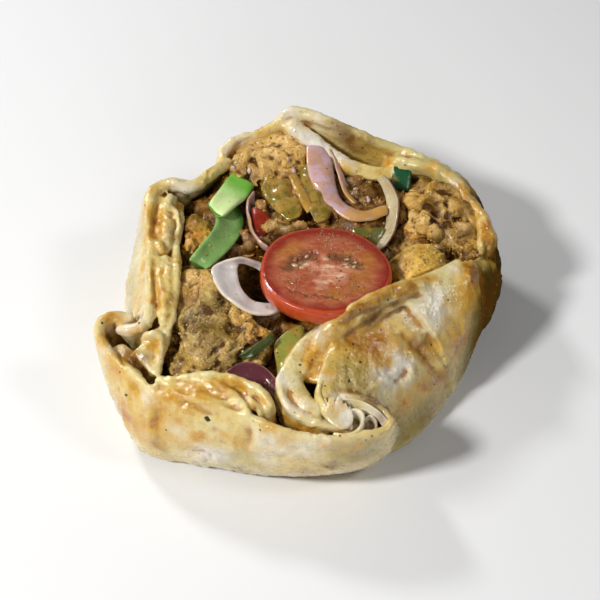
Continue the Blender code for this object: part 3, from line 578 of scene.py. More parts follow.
def add(tree, kind, inputs=(), **settings):
    """A node of this kind, with its settings, and its inputs as values or as other nodes' outputs."""
    made = tree.nodes.new(kind)
    for key, value in settings.items():
        setattr(made, key, value)
    for key, value in dict(inputs).items():
        if isinstance(value, bpy.types.NodeSocket):
            tree.links.new(value, made.inputs[key])
        else:
            made.inputs[key].default_value = value
    return made


def maths(tree, operation, a, b):
    return add(tree, "ShaderNodeMath", {0: a, 1: b}, operation=operation).outputs[0]


def eased(tree, value, low, high, start=0.0, end=1.0):
    """start below low, end above high, and smooth between."""
    return add(tree, "ShaderNodeMapRange", {
        "Value": value, "From Min": low, "From Max": high, "To Min": start, "To Max": end,
    }, interpolation_type="SMOOTHSTEP").outputs[0]


def group(name, sockets_in, sockets_out):
    """A new shader group with float inputs, and its input and output nodes."""
    made = bpy.data.node_groups.new(name, "ShaderNodeTree")
    for socket in sockets_in:
        kind = "NodeSocketVector" if socket == "Place" else "NodeSocketFloat"
        made.interface.new_socket(socket, in_out="INPUT", socket_type=kind)
    for socket in sockets_out:
        made.interface.new_socket(socket, in_out="OUTPUT", socket_type="NodeSocketFloat")
    return made, made.nodes.new("NodeGroupInput").outputs, made.nodes.new("NodeGroupOutput").inputs


def pepper_group():
    """Ground pepper: small dark specks, a few to each square centimetre."""
    made, given, result = group("pepper", ("Place", "Spacing", "Size", "Share"), ("Mask",))
    bend = add(made, "ShaderNodeTexNoise", {"Vector": given["Place"], "Scale": 1800.0}).outputs["Color"]
    moved = add(made, "ShaderNodeVectorMath", {0: bend, 1: (0.0006,) * 3}, operation="MULTIPLY").outputs[0]
    place = add(made, "ShaderNodeVectorMath", {0: given["Place"], 1: moved}).outputs[0]
    scale = maths(made, "DIVIDE", 1.0, given["Spacing"])
    cells = add(made, "ShaderNodeTexVoronoi", {"Vector": place, "Scale": scale})
    reach = maths(made, "DIVIDE", given["Size"], given["Spacing"])
    inside = maths(made, "LESS_THAN", cells.outputs["Distance"], reach)
    lot = add(made, "ShaderNodeSeparateColor", {0: cells.outputs["Color"]}).outputs[0]
    chosen = maths(made, "LESS_THAN", lot, given["Share"])
    made.links.new(maths(made, "MULTIPLY", inside, chosen), result["Mask"])
    return made


def blotch_group():
    """Soft blotches: how much of the surface they cover, and how sharp their edges are."""
    made, given, result = group("blotches", ("Place", "Size", "Cover", "Softness"), ("Mask",))
    scale = maths(made, "DIVIDE", 1.0, given["Size"])
    cloud = add(made, "ShaderNodeTexNoise", {
        "Vector": given["Place"], "Scale": scale, "Detail": 4.0, "Roughness": 0.6, "Distortion": 0.4,
    })
    start = maths(made, "SUBTRACT", 1.0, given["Cover"])
    low = maths(made, "SUBTRACT", start, given["Softness"])
    high = maths(made, "ADD", start, given["Softness"])
    made.links.new(eased(made, cloud.outputs["Fac"], low, high), result["Mask"])
    return made


def wet_group():
    """An oily, uneven film: the height of its fine relief, and a roughness that pools of oil lower."""
    made, given, result = group("wet", ("Place", "Grain", "Dry", "Oily"), ("Height", "Roughness"))
    scale = maths(made, "DIVIDE", 1.0, given["Grain"])
    grain = add(made, "ShaderNodeTexNoise", {
        "Vector": given["Place"], "Scale": scale, "Detail": 3.0, "Roughness": 0.55,
    })
    pools = add(made, "ShaderNodeTexNoise", {"Vector": given["Place"], "Scale": 160.0, "Detail": 2.0})
    film = eased(made, pools.outputs["Fac"], 0.38, 0.62, given["Oily"], given["Dry"])
    made.links.new(grain.outputs["Fac"], result["Height"])
    made.links.new(film, result["Roughness"])
    return made


pepper, blotches, wet = pepper_group(), blotch_group(), wet_group()


# The specular level of every piece.
GLINT = 0.35


class Finish:
    """A material that is being put together: its shader, the place on the piece, and its colour so far."""

    def __init__(self, name, colour, coat=0.0, subsurface=0.0, bleed=(1.0, 0.5, 0.25), depth=2.0):
        self.material = bpy.data.materials.new(name)
        self.material.use_nodes = True
        self.tree = self.material.node_tree
        self.shader = self.tree.nodes["Principled BSDF"]
        self.place = add(self.tree, "ShaderNodeTexCoord").outputs["Object"]
        self.colour = colour
        for key, value in {
            "Specular IOR Level": GLINT, "Coat Weight": coat, "Coat Roughness": 0.09,
            "Subsurface Weight": subsurface, "Subsurface Radius": bleed, "Subsurface Scale": depth * MM,
        }.items():
            self.shader.inputs[key].default_value = value

    def painted(self, name):
        return add(self.tree, "ShaderNodeAttribute", attribute_name=name).outputs["Fac"]

    def effect(self, kind, **values):
        """A mask of pepper or of blotches, with its lengths in metres."""
        given = {key.capitalize(): value for key, value in values.items()}
        return add(self.tree, "ShaderNodeGroup", {"Place": self.place, **given}, node_tree=kind).outputs[0]

    def times(self, a, b):
        return maths(self.tree, "MULTIPLY", a, b)

    def tint(self, share, colour, strength=1.0):
        """Lays a colour over the colour so far, by share times strength."""
        if strength < 1.0:
            share = self.times(share, strength)
        self.colour = self.mix(share, self.colour, colour)

    def mix(self, share, a, b):
        """The colour a, with b over it by share. Each is three numbers or an output."""
        made = add(self.tree, "ShaderNodeMix", data_type="RGBA")
        self.tree.links.new(share, made.inputs["Factor"])
        for socket, colour in ((made.inputs[6], a), (made.inputs[7], b)):
            if isinstance(colour, bpy.types.NodeSocket):
                self.tree.links.new(colour, socket)
            else:
                socket.default_value = (*colour, 1.0)
        return made.outputs[2]

    def spread(self, value, low, high):
        return eased(self.tree, value, low, high)

    def shine(self, coat, glint):
        """Links the weight of the oily coat and the glint of what is under it."""
        self.tree.links.new(coat, self.shader.inputs["Coat Weight"])
        self.tree.links.new(glint, self.shader.inputs["Specular IOR Level"])

    def finished(self, grain, dry, oily, relief):
        """The material, with an oily roughness and a fine relief of this grain and height in millimetres."""
        film = add(self.tree, "ShaderNodeGroup", {
            "Place": self.place, "Grain": grain * MM, "Dry": dry, "Oily": oily,
        }, node_tree=wet)
        bump = add(self.tree, "ShaderNodeBump", {"Height": film.outputs["Height"], "Distance": relief * MM})
        for key, output in (
            ("Base Color", self.colour), ("Roughness", film.outputs["Roughness"]),
            ("Normal", bump.outputs[0]), ("Coat Normal", bump.outputs[0]),
        ):
            self.tree.links.new(output, self.shader.inputs[key])
        return self.material


def dough_finish():
    """Pale oiled dough: creamy, yellow where it is thin, with masala stains and specks of pepper."""
    dough = Finish("dough", (0.71, 0.60, 0.27), subsurface=0.12, bleed=(1.0, 0.55, 0.2), depth=1.6)
    broad = dough.effect(blotches, size=0.022, cover=0.5, softness=0.12)
    small = dough.effect(blotches, size=0.006, cover=0.45, softness=0.10)
    fine = dough.effect(blotches, size=0.0018, cover=0.5, softness=0.2)
    dapple = dough.effect(blotches, size=0.0028, cover=0.38, softness=0.05)
    crease = dough.painted("crease")
    dough.tint(broad, (0.64, 0.42, 0.075))
    dough.tint(small, (0.60, 0.36, 0.045), 0.45)
    dough.tint(fine, (0.76, 0.66, 0.33), 0.35)
    dough.tint(dough.times(dapple, dough.spread(broad, -0.7, 1.0)), (0.48, 0.21, 0.018), 0.6)
    # Painted shade, olive.
    dough.tint(dough.painted("olive_shade"), (0.24, 0.19, 0.02), 0.85)
    # Painted highlight: the ridges of the folds are paler.
    dough.tint(dough.spread(crease, 0.38, 0.05), (0.74, 0.63, 0.30), 0.35)
    # Pale dough and painted sheen.
    dough.tint(dough.painted("pale"), (0.79, 0.75, 0.70), 0.85)
    # Painted shade down the right side, near black.
    dough.tint(dough.painted("right_side_shade"), (0.05, 0.028, 0.003), 0.95)
    # Darker orange-brown in the creases: masala oil and painted shade.
    dough.tint(dough.spread(crease, 0.56, 0.88), (0.36, 0.13, 0.012), 0.85)
    thick = dough.times(dough.painted("orange"), dough.spread(fine, -1.2, 0.7))
    dough.tint(dough.spread(thick, 0.0, 0.6), (0.60, 0.34, 0.05))
    dough.tint(dough.spread(thick, 0.45, 0.95), (0.42, 0.15, 0.012))
    # Brown crust and painted shade.
    dough.tint(dough.painted("brown"), (0.15, 0.055, 0.008), 0.95)
    for spacing, size in ((0.0026, 0.00026), (0.009, 0.0006)):
        specks = dough.effect(pepper, spacing=spacing, size=size, share=0.35)
        dough.tint(specks, (0.03, 0.018, 0.01), 0.9)
    # No coat or glint where the shade is painted.
    unshaded = dough.spread(dough.painted("right_side_shade"), 0.7, 0.0)
    dough.shine(dough.times(unshaded, 0.9), dough.times(unshaded, GLINT))
    return dough.finished(grain=1.4, dry=0.40, oily=0.12, relief=0.34)


DOUGH = dough_finish()
bread.data.materials.append(DOUGH)
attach(bread, "root")
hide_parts("parotta")
bread_tree = surface_tree(bread)

# Coarse flakes of pepper stick to the bread, by the photo's pixel, with their length in millimetres.
PEPPER_FLAKES = [
    (207, 419, 2.8), (102, 323, 1.3), (110, 340, 1.7), (139, 323, 1.1), (353, 344, 1.4), (346, 350, 1.1),
    (360, 362, 1.3), (349, 381, 1.7), (188, 196, 1.5), (126, 395, 1.4), (325, 386, 0.9), (310, 396, 0.9),
    (372, 436, 1.0), (366, 440, 0.9), (340, 436, 1.0), (431, 345, 1.1), (300, 372, 0.9), (312, 360, 1.1),
    (381, 330, 1.0), (360, 310, 1.2), (388, 300, 1.1), (405, 318, 0.9), (448, 300, 0.9), (260, 430, 0.9),
    (166, 430, 1.0), (120, 372, 1.2), (145, 205, 1.0), (214, 183, 1.0), (405, 165, 0.9), (348, 358, 0.9),
]
flake_mesh = bmesh.new()
for column, row, length in PEPPER_FLAKES:
    spot, normal = bread_tree.ray_cast(*sight(column, row))[:2]
    if spot is not None:
        made = bmesh.ops.create_icosphere(flake_mesh, subdivisions=2, radius=1.0)["verts"]
        for vertex in made:
            vertex.co *= 1 + 0.6 * noise.noise(vertex.co * 1.4 + Vector((column, row, 0)))
        lay = normal.to_track_quat("Z", "Y").to_matrix().to_4x4() @ Matrix.Rotation(column, 4, "Z")
        half = length / 2 * MM
        flat = Matrix.Diagonal((half, 0.7 * half, 0.35 * half, 1.0))
        bmesh.ops.transform(flake_mesh, verts=made, matrix=Matrix.Translation(spot) @ lay @ flat)
pepper_flakes = shown("pepper_flakes", flake_mesh)
corn = Finish("pepper_flakes", (0.014, 0.008, 0.005))
corn.tint(corn.effect(blotches, size=0.0007, cover=0.5, softness=0.1), (0.06, 0.03, 0.015))
pepper_flakes.data.materials.append(corn.finished(grain=0.4, dry=0.6, oily=0.3, relief=0.08))
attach(pepper_flakes, "root")

# Thin plies at the end of the roll, which curl and stand up where it was torn, by the photo's pixel and the
# height of their top, with their thickness and depth. Their loose flakes lie between two edges, and have
# their thickness, their bulge and how ragged they are.
THIN_PLIES = [
    ([(324, 378, 44.5), (319, 387, 44.5), (320, 397, 44), (328, 406, 43.5), (338, 413, 42)], 3.4, 7),
    ([(349, 409, 43), (357, 409, 43), (363, 415, 42.5), (362, 424, 42), (355, 431, 41.5), (344, 434, 41),
      (333, 433, 40.5)], 2.2, 6),
    ([(365, 419, 40.5), (370, 416, 40.5), (375, 420, 40.5), (375, 429, 39.5)], 1.3, 5),
]
FLAKES = [
    ([(318, 398, 42.5), (328, 399, 43.5), (337, 398, 44), (345, 402, 44), (351, 409, 43.5), (353, 418, 42)],
     [(322, 414, 41.5), (328, 422, 41.5), (335, 427, 41.5), (342, 429, 41.5), (348, 428, 41), (352, 424, 41)],
     1.2, 0.2, 1.0),
    ([(336, 402, 43), (346, 399, 43.5), (357, 400, 43.5), (368, 404, 43), (379, 411, 42), (388, 420, 41)],
     [(340, 411, 38), (348, 412, 38), (357, 413, 38), (367, 416, 38), (376, 421, 38), (383, 427, 38)],
     1.5, -0.5, 0),
]
torn = bmesh.new()
pieces = [on_edge(*ply, step=0.6, around=16, blunt=0.8, wave=0.6) for ply in THIN_PLIES]
for upper, lower, thickness, belly, ragged in FLAKES:
    edges = [at(*pixel) for pixel in upper], [at(*pixel) for pixel in lower]
    pieces.append(band(*edges, thickness, belly, step=0.5, around=24, blunt=0.6, wave=1.0, ragged=ragged))
for piece in pieces:
    part = bpy.data.meshes.new("ply")
    piece.to_mesh(part)
    piece.free()
    torn.from_mesh(part)
    bpy.data.meshes.remove(part)
torn_plies = shown("torn_plies", torn)
stained(torn_plies, DAUBS)
attribute(torn_plies, "crease", hollows(torn_plies, 6))
torn_plies.data.shade_smooth()
torn_plies.data.materials.append(DOUGH)
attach(torn_plies, "root")


# The chicken and the masala. Boiled chicken is pulled apart, fried with ground spices until the masala is
# thick and crumbly, and heaped in. A big chunk and a small one lie on the left, a smooth yellow one on the
# right, shreds lean over the right wall and against the back one, and loose masala fills the rest.

MEAT_REACH = 74
# No lumps are put near the onion ring and the chilli, which lie on the chicken.
KEPT_CLEAR = [(at(234, 284, 46), 15), (at(256, 348, 44), 9)]
MEAT_CREASES = [
    ([(434, 186), (444, 192), (454, 195)], 1.6, -2.2),
    ([(426, 206), (436, 212), (446, 215), (458, 219)], 1.6, -2.6),
    ([(438, 226), (450, 226), (462, 228)], 1.4, -2.0),
    ([(434, 242), (446, 249), (455, 252)], 1.4, -2.0),
    ([(440, 264), (450, 257), (462, 252), (476, 254)], 1.5, -2.4),
    ([(470, 200), (478, 212), (484, 224)], 1.6, -2.2),
    ([(476, 228), (484, 238), (488, 250)], 1.6, -2.4),
    ([(404, 206), (406, 220), (402, 234)], 1.6, -2.0),
    ([(232, 330), (222, 346), (206, 358)], 1.5, -1.6),
    ([(232, 296), (226, 310), (232, 324), (242, 332)], 1.8, -1.8),
    ([(184, 300), (186, 325), (183, 352)], 1.6, -1.0),
    ([(256, 148), (254, 160), (260, 172)], 1.8, -2.2),
    ([(268, 168), (282, 176), (296, 182)], 1.5, -1.8),
    ([(206, 270), (212, 284), (210, 300)], 2.4, 0.8),
]


def nuggets(node, count, size, drawn_out, seed):
    """Uneven lumps of meat, of about this length, that stand out of the upper side of a node. They lie
    roughly one way where they are drawn out."""
    rng = np.random.default_rng(seed)
    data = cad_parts[node].data
    data.calc_loop_triangles()
    faces = [
        face for face in data.loop_triangles
        if face.normal.z > 0.2 and face.center.x < MEAT_REACH * MM
        and all((face.center / MM - place).length > radius for place, radius in KEPT_CLEAR)
    ]
    areas = np.array([face.area for face in faces])
    lumps = []
    for pick in rng.choice(len(faces), count, p=areas / areas.sum()):
        a, b, c = (data.vertices[k].co for k in faces[pick].vertices)
        s, t = sorted(rng.random(2))
        spot = a * s + b * (t - s) + c * (1 - t)
        half = size * rng.uniform(0.3, 0.65) * MM
        wide = half / rng.uniform(0.8 * drawn_out, 1.2 * drawn_out)
        mesh = bmesh.new()
        bmesh.ops.create_icosphere(mesh, subdivisions=3, radius=1.0)
        for vertex in mesh.verts:
            vertex.co *= 1 + 0.4 * noise.noise(vertex.co * 1.5 + Vector((pick, seed, 0)))
        lay = faces[pick].normal.to_track_quat("Z", "Y").to_matrix().to_4x4()
        turn = Matrix.Rotation(rng.normal(0.4, 0.5 if drawn_out > 1.3 else 2.0), 4, "Z")
        sunk = Matrix.Translation(spot - faces[pick].normal * wide * rng.uniform(0.3, 0.7))
        mesh.transform(sunk @ lay @ turn @ Matrix.Diagonal((half, wide, wide, 1.0)))
        lumps.append(mesh)
    return lumps


# The wall of the bread is further out than this, and the meat keeps this far inside its outer side.
WALL_FROM, WALL_MARGIN = 50, 2.0
BEYOND_BREAD = 0.13


def kept_inside(places):
    """Draws in whatever reaches through the wall of the bread, which is looked for from beyond it."""
    for i, (x, y, z) in enumerate(places):
        reach = math.hypot(x, y)
        if reach > WALL_FROM:
            outwards = Vector((x / reach, y / reach, 0))
            wall = bread_tree.ray_cast(outwards * BEYOND_BREAD + Vector((0, 0, z * MM)), -outwards)[0]
            if wall is not None and wall.dot(outwards) > WALL_FROM * MM:
                limit = wall.dot(outwards) / MM - WALL_MARGIN
                if reach > limit:
                    places[i, :2] *= limit / reach
    return places


def crumbled(obj, lump, lump_depth, grain, grain_depth, stretch, seed):
    """Breaks a surface up into uneven lumps with finer grains over them, drawn out along X by stretch. What
    leans out over the right wall is drawn in."""
    tree = surface_tree(obj)
    places, normals = vertex_array(obj), normal_array(obj)
    push = np.empty(len(places))
    shift = Vector((seed * 7.3, seed * 3.1, 0))
    for i, spot in enumerate(places):
        p = Vector(spot) + shift
        p += noise.noise_vector(p / 7) * 3
        q = Vector((p.x / stretch + p.y * 0.3, p.y - p.x * 0.2, p.z))
        coarse = 0.3 + 1.5 * max(0, noise.noise(p / 10) + 0.35)
        rough = (
            abs(noise.noise(q / grain))
            + 0.6 * abs(noise.noise(q / (grain * 0.5)))
            + 0.35 * abs(noise.noise(p / (grain * 0.27)))
        )
        push[i] = lump_depth * 2 * noise.noise(q / lump) + grain_depth * coarse * (2.4 * rough - 0.9)
    add_creases(push, places, tree, MEAT_CREASES)
    places = places + normals * push[:, None]
    places[:, 0] -= 0.8 * np.maximum(places[:, 0] - MEAT_REACH - 5, 0)
    move_to(obj, kept_inside(places))
    # How hollow the surface is, near and over a wide reach; the finish lays painted highlight and painted
    # shade by these.
    attribute(obj, "crease", hollows(obj, 5))
    attribute(obj, "deep", hollows(obj, 40))
    obj.data.shade_smooth()


MEAT_DAUBS = {
    # char_and_shadow: charred masala, and painted shadow in the gaps between pieces, in the onion ring's hole
    # and under the rim.
    "char_and_shadow": [
        (250, 284, 10, 1.0), (258, 298, 9, 1.0), (243, 268, 9, 1.0), (264, 306, 6, 1.0), (244, 290, 9, 1.0),
        (236, 276, 7, 1.0), (262, 284, 8, 1.0), (270, 296, 6, 1.0), (232, 290, 5, 0.9), (222, 330, 4, 0.6),
        (202, 330, 7, 0.6), (212, 326, 5, 0.5), (208, 312, 6, 0.5), (216, 302, 5, 0.3), (243, 332, 1.5, 0.8),
        (196, 346, 4, 0.5), (224, 336, 4, 0.6), (190, 322, 4, 0.5), (214, 344, 3, 0.5),
        (214, 266, 2, 0.9), (180, 262, 2, 0.8), (181, 280, 2, 0.8), (182, 300, 2.5, 0.8),
        (182, 320, 2.5, 0.8), (180, 340, 3, 0.8), (178, 358, 3, 0.8), (190, 373, 3, 0.9), (205, 371, 3, 0.9),
        (220, 367, 3, 0.9), (235, 360, 3, 0.9), (248, 352, 3, 0.9), (262, 345, 3, 0.8),
        (462, 262, 5, 0.5), (474, 256, 4, 0.7), (484, 250, 4, 0.4), (446, 232, 4, 0.5), (432, 212, 4, 0.5),
        (440, 262, 3, 0.5), (428, 252, 3, 0.5), (455, 215, 4, 0.4), (420, 172, 5, 0.4), (252, 176, 4, 0.6),
        (268, 182, 3, 0.5), (262, 158, 3, 0.4), (298, 176, 3, 0.5), (352, 170, 5, 0.6), (340, 182, 4, 0.6),
        (362, 190, 5, 0.6), (232, 168, 4, 0.5), (428, 203, 3.5, 0.9), (436, 208, 3, 0.8), (448, 222, 3, 0.8),
        (433, 240, 3, 0.8), (447, 247, 3, 0.7), (466, 232, 3, 0.7), (470, 204, 5, 0.8), (442, 190, 5, 0.6),
        (430, 178, 8, 0.8), (446, 182, 5, 0.6), (480, 244, 3, 0.6), (452, 250, 4, 0.6), (466, 214, 3, 0.5),
        (478, 228, 1.5, 0.8), (216, 275, 4, 0.6), (222, 288, 4, 0.4), (212, 300, 4, 0.4), (237, 298, 3, 0.7),
        (345, 176, 6, 0.9), (358, 168, 5, 0.9), (378, 190, 6, 0.9), (388, 210, 5, 0.9), (250, 225, 5, 0.9),
        (262, 250, 6, 0.9), (285, 235, 4, 0.7), (250, 276, 12, 1.0), (258, 290, 10, 1.0),
        (300, 230, 4, 0.6), (392, 240, 5, 0.9), (394, 262, 5, 1.0), (378, 222, 6, 0.7), (245, 205, 5, 0.8),
        (184, 212, 6, 0.9), (196, 216, 5, 0.8), (180, 232, 4, 0.9), (372, 176, 5, 0.8), (344, 168, 5, 0.9),
    ],
    "ash": [
        (196, 312, 6, 0.9), (214, 303, 4, 0.5), (236, 350, 4, 0.4), (448, 240, 5, 0.6),
        (440, 248, 4, 0.6), (346, 188, 4, 0.4), (352, 200, 4, 0.5),
    ],
    "orange": [
        (190, 282, 7, 0.9), (200, 274, 5, 0.8), (185, 300, 5, 0.6), (246, 320, 6, 0.9), (256, 330, 6, 1.0),
        (250, 342, 5, 0.8), (262, 340, 4, 0.9), (190, 228, 6, 1.0), (196, 240, 5, 0.9), (186, 240, 4, 0.8),
        (270, 140, 7, 0.8), (285, 150, 8, 1.0), (296, 148, 6, 1.0), (262, 160, 7, 0.8), (250, 168, 5, 0.6),
        (300, 162, 6, 0.8), (410, 228, 5, 0.8), (424, 222, 5, 0.7), (470, 210, 6, 0.7), (488, 222, 6, 0.8),
        (492, 240, 6, 0.8), (455, 200, 5, 0.6), (420, 196, 5, 0.6), (436, 180, 5, 0.5), (250, 152, 5, 0.7),
        (402, 262, 4, 0.5), (420, 284, 4, 0.6),
    ],
    "gold": [
        (270, 138, 8, 1.0), (285, 146, 8, 1.0), (262, 150, 8, 0.9), (250, 156, 7, 0.8), (298, 140, 6, 1.0),
        (276, 162, 7, 0.7), (238, 158, 6, 0.6), (302, 154, 6, 0.8), (268, 174, 6, 0.5), (410, 218, 6, 0.9),
        (418, 228, 5, 0.9), (402, 222, 5, 0.8), (192, 276, 6, 0.7), (182, 262, 5, 0.6), (268, 230, 5, 0.8),
        (278, 222, 5, 0.8), (455, 196, 5, 0.5), (440, 206, 4, 0.6), (424, 219, 5, 1.0), (436, 227, 4, 0.8),
        (412, 195, 5, 0.6), (200, 350, 8, 0.9), (210, 356, 7, 0.8), (186, 268, 6, 0.8), (194, 262, 5, 0.7),
        (222, 354, 5, 0.6), (404, 249, 6, 0.6), (248, 322, 5, 0.5), (462, 224, 4, 0.6), (264, 200, 4, 0.5),
        (284, 228, 5, 0.6), (302, 222, 4, 0.6), (196, 270, 6, 0.9), (200, 288, 6, 0.6), (228, 352, 4, 0.6),
        (240, 342, 4, 0.5), (450, 208, 5, 0.7), (470, 218, 5, 0.5), (446, 200, 4, 0.6),
    ],
    "scraps": [
        (283, 163, 4, 1.0), (263, 176, 4, 1.0), (246, 152, 4, 0.8), (298, 182, 4, 0.8), (352, 196, 5, 0.8),
        (366, 200, 5, 0.8), (236, 168, 4, 0.8), (345, 178, 5, 0.7), (272, 196, 4, 0.5), (300, 226, 4, 0.6),
    ],
    "loose": [
        (428, 258, 5, 1.0), (420, 266, 5, 0.9), (438, 252, 5, 1.0), (410, 252, 4, 0.6), (430, 272, 5, 0.8),
        (456, 254, 6, 1.0), (468, 256, 6, 1.0), (478, 252, 4, 0.8),
    ],
}


def meat_finish(name, pale, deep, oil, warm=(0.56, 0.25, 0.025), dark=(0.085, 0.028, 0.004), peppered=0.3):
    """Moist spiced chicken: paler on its ridges, a painted highlight, and deep brown in its hollows, from
    masala and painted shade.
    """
    meat = Finish(name, pale, subsurface=0.08, bleed=(1.0, 0.45, 0.15), depth=1.2)
    broad = meat.effect(blotches, size=0.011, cover=0.5, softness=0.08)
    small = meat.effect(blotches, size=0.0035, cover=0.45, softness=0.10)
    fine = meat.effect(blotches, size=0.0011, cover=0.45, softness=0.10)
    patch = meat.effect(blotches, size=0.0060, cover=0.42, softness=0.05)
    crease, char_and_shadow = meat.painted("crease"), meat.painted("char_and_shadow")
    meat.tint(broad, tuple(0.3 * a + 0.7 * b for a, b in zip(pale, deep)))
    meat.tint(small, deep, 0.8)
    meat.tint(patch, tuple(0.5 * (a + b) for a, b in zip(deep, dark)), 0.45)
    meat.tint(fine, tuple(min(1.3 * c, 0.85) for c in pale), 0.3)
    # Painted highlight: the ridges are paler.
    meat.tint(meat.spread(crease, 0.42, 0.08), tuple(min(1.35 * c + 0.03, 0.85) for c in pale), 0.45)
    meat.tint(meat.painted("orange"), warm, 0.85)
    meat.tint(meat.times(meat.painted("gold"), meat.spread(fine, -1.5, 0.9)), (0.72, 0.46, 0.14))
    meat.tint(meat.times(meat.painted("ash"), meat.spread(fine, -1.0, 1.0)), (0.36, 0.29, 0.13))
    # Char and painted shadow, near black.
    meat.tint(meat.times(char_and_shadow, meat.spread(small, -3.0, 0.9)), (0.022, 0.010, 0.003))
    # Painted shade in the creases.
    meat.tint(meat.spread(crease, 0.56, 0.90), dark, 0.85)
    # Painted shade in the deep hollows, like ambient occlusion.
    meat.tint(meat.spread(meat.painted("deep"), 0.60, 0.92), dark, 0.75)
    for spacing, size in ((0.0026, 0.0003), (0.0013, 0.00022)):
        specks = meat.effect(pepper, spacing=spacing, size=size, share=peppered)
        meat.tint(specks, (0.02, 0.012, 0.006), 0.85)
    wetness = meat.times(meat.spread(crease, 0.66, 0.48), oil)
    # No coat or glint on char and painted shadow.
    no_char_or_shadow = meat.spread(char_and_shadow, 0.8, 0.4)
    meat.shine(meat.times(wetness, no_char_or_shadow), meat.times(no_char_or_shadow, GLINT))
    return meat.finished(grain=0.9, dry=0.42, oily=0.12, relief=0.5)


roast = meat_finish("roast_chicken", (0.68, 0.42, 0.08), (0.15, 0.070, 0.008), 0.9, peppered=0.8)
pulled = meat_finish("pulled_chicken", (0.64, 0.35, 0.04), (0.18, 0.065, 0.005), 0.8)
golden = meat_finish("golden_chicken", (0.66, 0.40, 0.06), (0.58, 0.29, 0.025), 0.9,
                     dark=(0.30, 0.11, 0.01), peppered=0.05)
loose = meat_finish("loose_masala", (0.34, 0.15, 0.018), (0.10, 0.032, 0.004), 0.6)


def mound(column, row, height, wide, deep, tall):
    """An oval lump whose top is at this height on this pixel's line of sight."""
    mesh = bmesh.new()
    bmesh.ops.create_icosphere(mesh, subdivisions=3, radius=1.0)
    middle = at(column, row, height) - Vector((0, 0, tall))
    mesh.transform(Matrix.Translation(middle * MM) @ Matrix.Diagonal((wide * MM, deep * MM, tall * MM, 1.0)))
    return mesh


# Loose masala is heaped up against the back wall and between the larger pieces.
HEAPS = [
    (250, 146, 48, 8, 7, 7), (262, 138, 51, 9, 7, 8), (278, 133, 53, 9, 6, 8), (292, 136, 53, 8, 6, 8),
    (300, 150, 50, 6, 6, 6), (276, 152, 49, 11, 8, 6), (258, 160, 46, 9, 7, 5), (236, 160, 45, 6, 6, 6),
    (252, 172, 45, 7, 6, 5), (276, 172, 46, 8, 6, 5), (296, 170, 47, 6, 6, 5), (352, 178, 44, 6, 5, 5),
    (368, 190, 43, 6, 5, 5), (350, 194, 44, 5, 5, 5), (258, 238, 44, 6, 5, 5), (272, 226, 45, 6, 5, 5),
    (262, 204, 48.5, 3.5, 3, 4), (272, 222, 48.5, 5, 3, 4), (290, 226, 48.5, 4, 3, 4),
    (299, 222, 48, 4, 3, 4), (298, 184, 49.5, 2.5, 4, 3), (300, 200, 49, 2.2, 4, 3), (336, 208, 47, 3, 3, 3),
    (284, 172, 49, 4, 3, 3),
]
LEFT_HEAPS = [(194, 272, 46.5, 6, 7, 6), (186, 284, 45.5, 4, 6, 5), (204, 350, 45.5, 6, 6, 5)]
GOLDEN_HEAP = [(414, 258, 48.5, 12, 10, 10), (432, 262, 48, 7, 7, 7)]
RIGHT_HEAPS = [
    (414, 194, 47.5, 6, 6, 6), (424, 219, 49.5, 4, 4, 4), (436, 226, 49, 3.5, 3.5, 4),
    (458, 203, 48, 9, 7, 6), (462, 226, 47.5, 9, 5, 5),
]

# Each piece with its node, its slot, its material, the size of its mesh, what is heaped on it, the count,
# length and slenderness of its lumps, and the size and depth of its folds and of its grains, with how far
# they are drawn out.
MEATS = [
    ("left_chicken", "chicken_left", "chicken", roast, 0.5, LEFT_HEAPS, (16, 12, 1.2),
     (10.0, 1.2, 2.0, 0.55, 1.0)),
    ("small_chicken", "chicken_small", "chicken", pulled, 0.5, (), (8, 9, 1.2), (7.0, 0.6, 3.5, 0.8, 1.3)),
    ("golden_chicken", "chicken_round", "chicken_pale", golden, 0.5, GOLDEN_HEAP, (0, 10, 1.1),
     (9.0, 0.3, 5.0, 0.12, 1.0)),
    ("right_chicken", "chicken_right", "chicken", pulled, 0.5, RIGHT_HEAPS, (26, 14, 2.3),
     (8.0, 1.1, 2.4, 0.38, 2.4)),
    ("back_chicken", "chicken_back", "chicken", pulled, 0.5, (), (18, 13, 2.5), (7.0, 0.9, 2.0, 0.42, 2.6)),
    ("masala_heap", "masala", "masala", loose, 0.86, HEAPS, (140, 7, 1.3), (6.0, 0.7, 3.5, 0.9, 1.4)),
]
# Crumbs lie on what faces up, is not hidden down in the pouch, and is clear of the right wall.
MEAT_FACING_UP, OPEN_ABOVE, OPEN_REACH = 0.15, 34, MEAT_REACH - 3
meats = {}
for seed, (name, node, slot, material, voxel, heaps, lumps, relief) in enumerate(MEATS):
    piece = kneaded(name, node, voxel, 3, [mound(*heap) for heap in heaps] + nuggets(node, *lumps, seed))
    crumbled(piece, *relief, seed)
    paint = stained(piece, MEAT_DAUBS)
    x, _, z = vertex_array(piece).T
    bare = (normal_array(piece)[:, 2] > MEAT_FACING_UP) & (z > OPEN_ABOVE) & (x < OPEN_REACH)
    attribute(piece, "open", bare * (1 - paint["char_and_shadow"]))
    piece.data.materials.append(material)
    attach(piece, "root")
    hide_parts(node)
    meats[name] = piece


def crumb(seed):
    """An uneven grain about 2 mm across."""
    mesh = bmesh.new()
    bmesh.ops.create_icosphere(mesh, subdivisions=2, radius=1.0)
    for vertex in mesh.verts:
        spot = vertex.co * (1 + 0.7 * noise.noise(vertex.co * 1.3 + Vector((seed * 5.1, 0, 0))))
        vertex.co = Vector((spot.x, spot.y * 0.75, spot.z * 0.7)) * MM
    return mesh


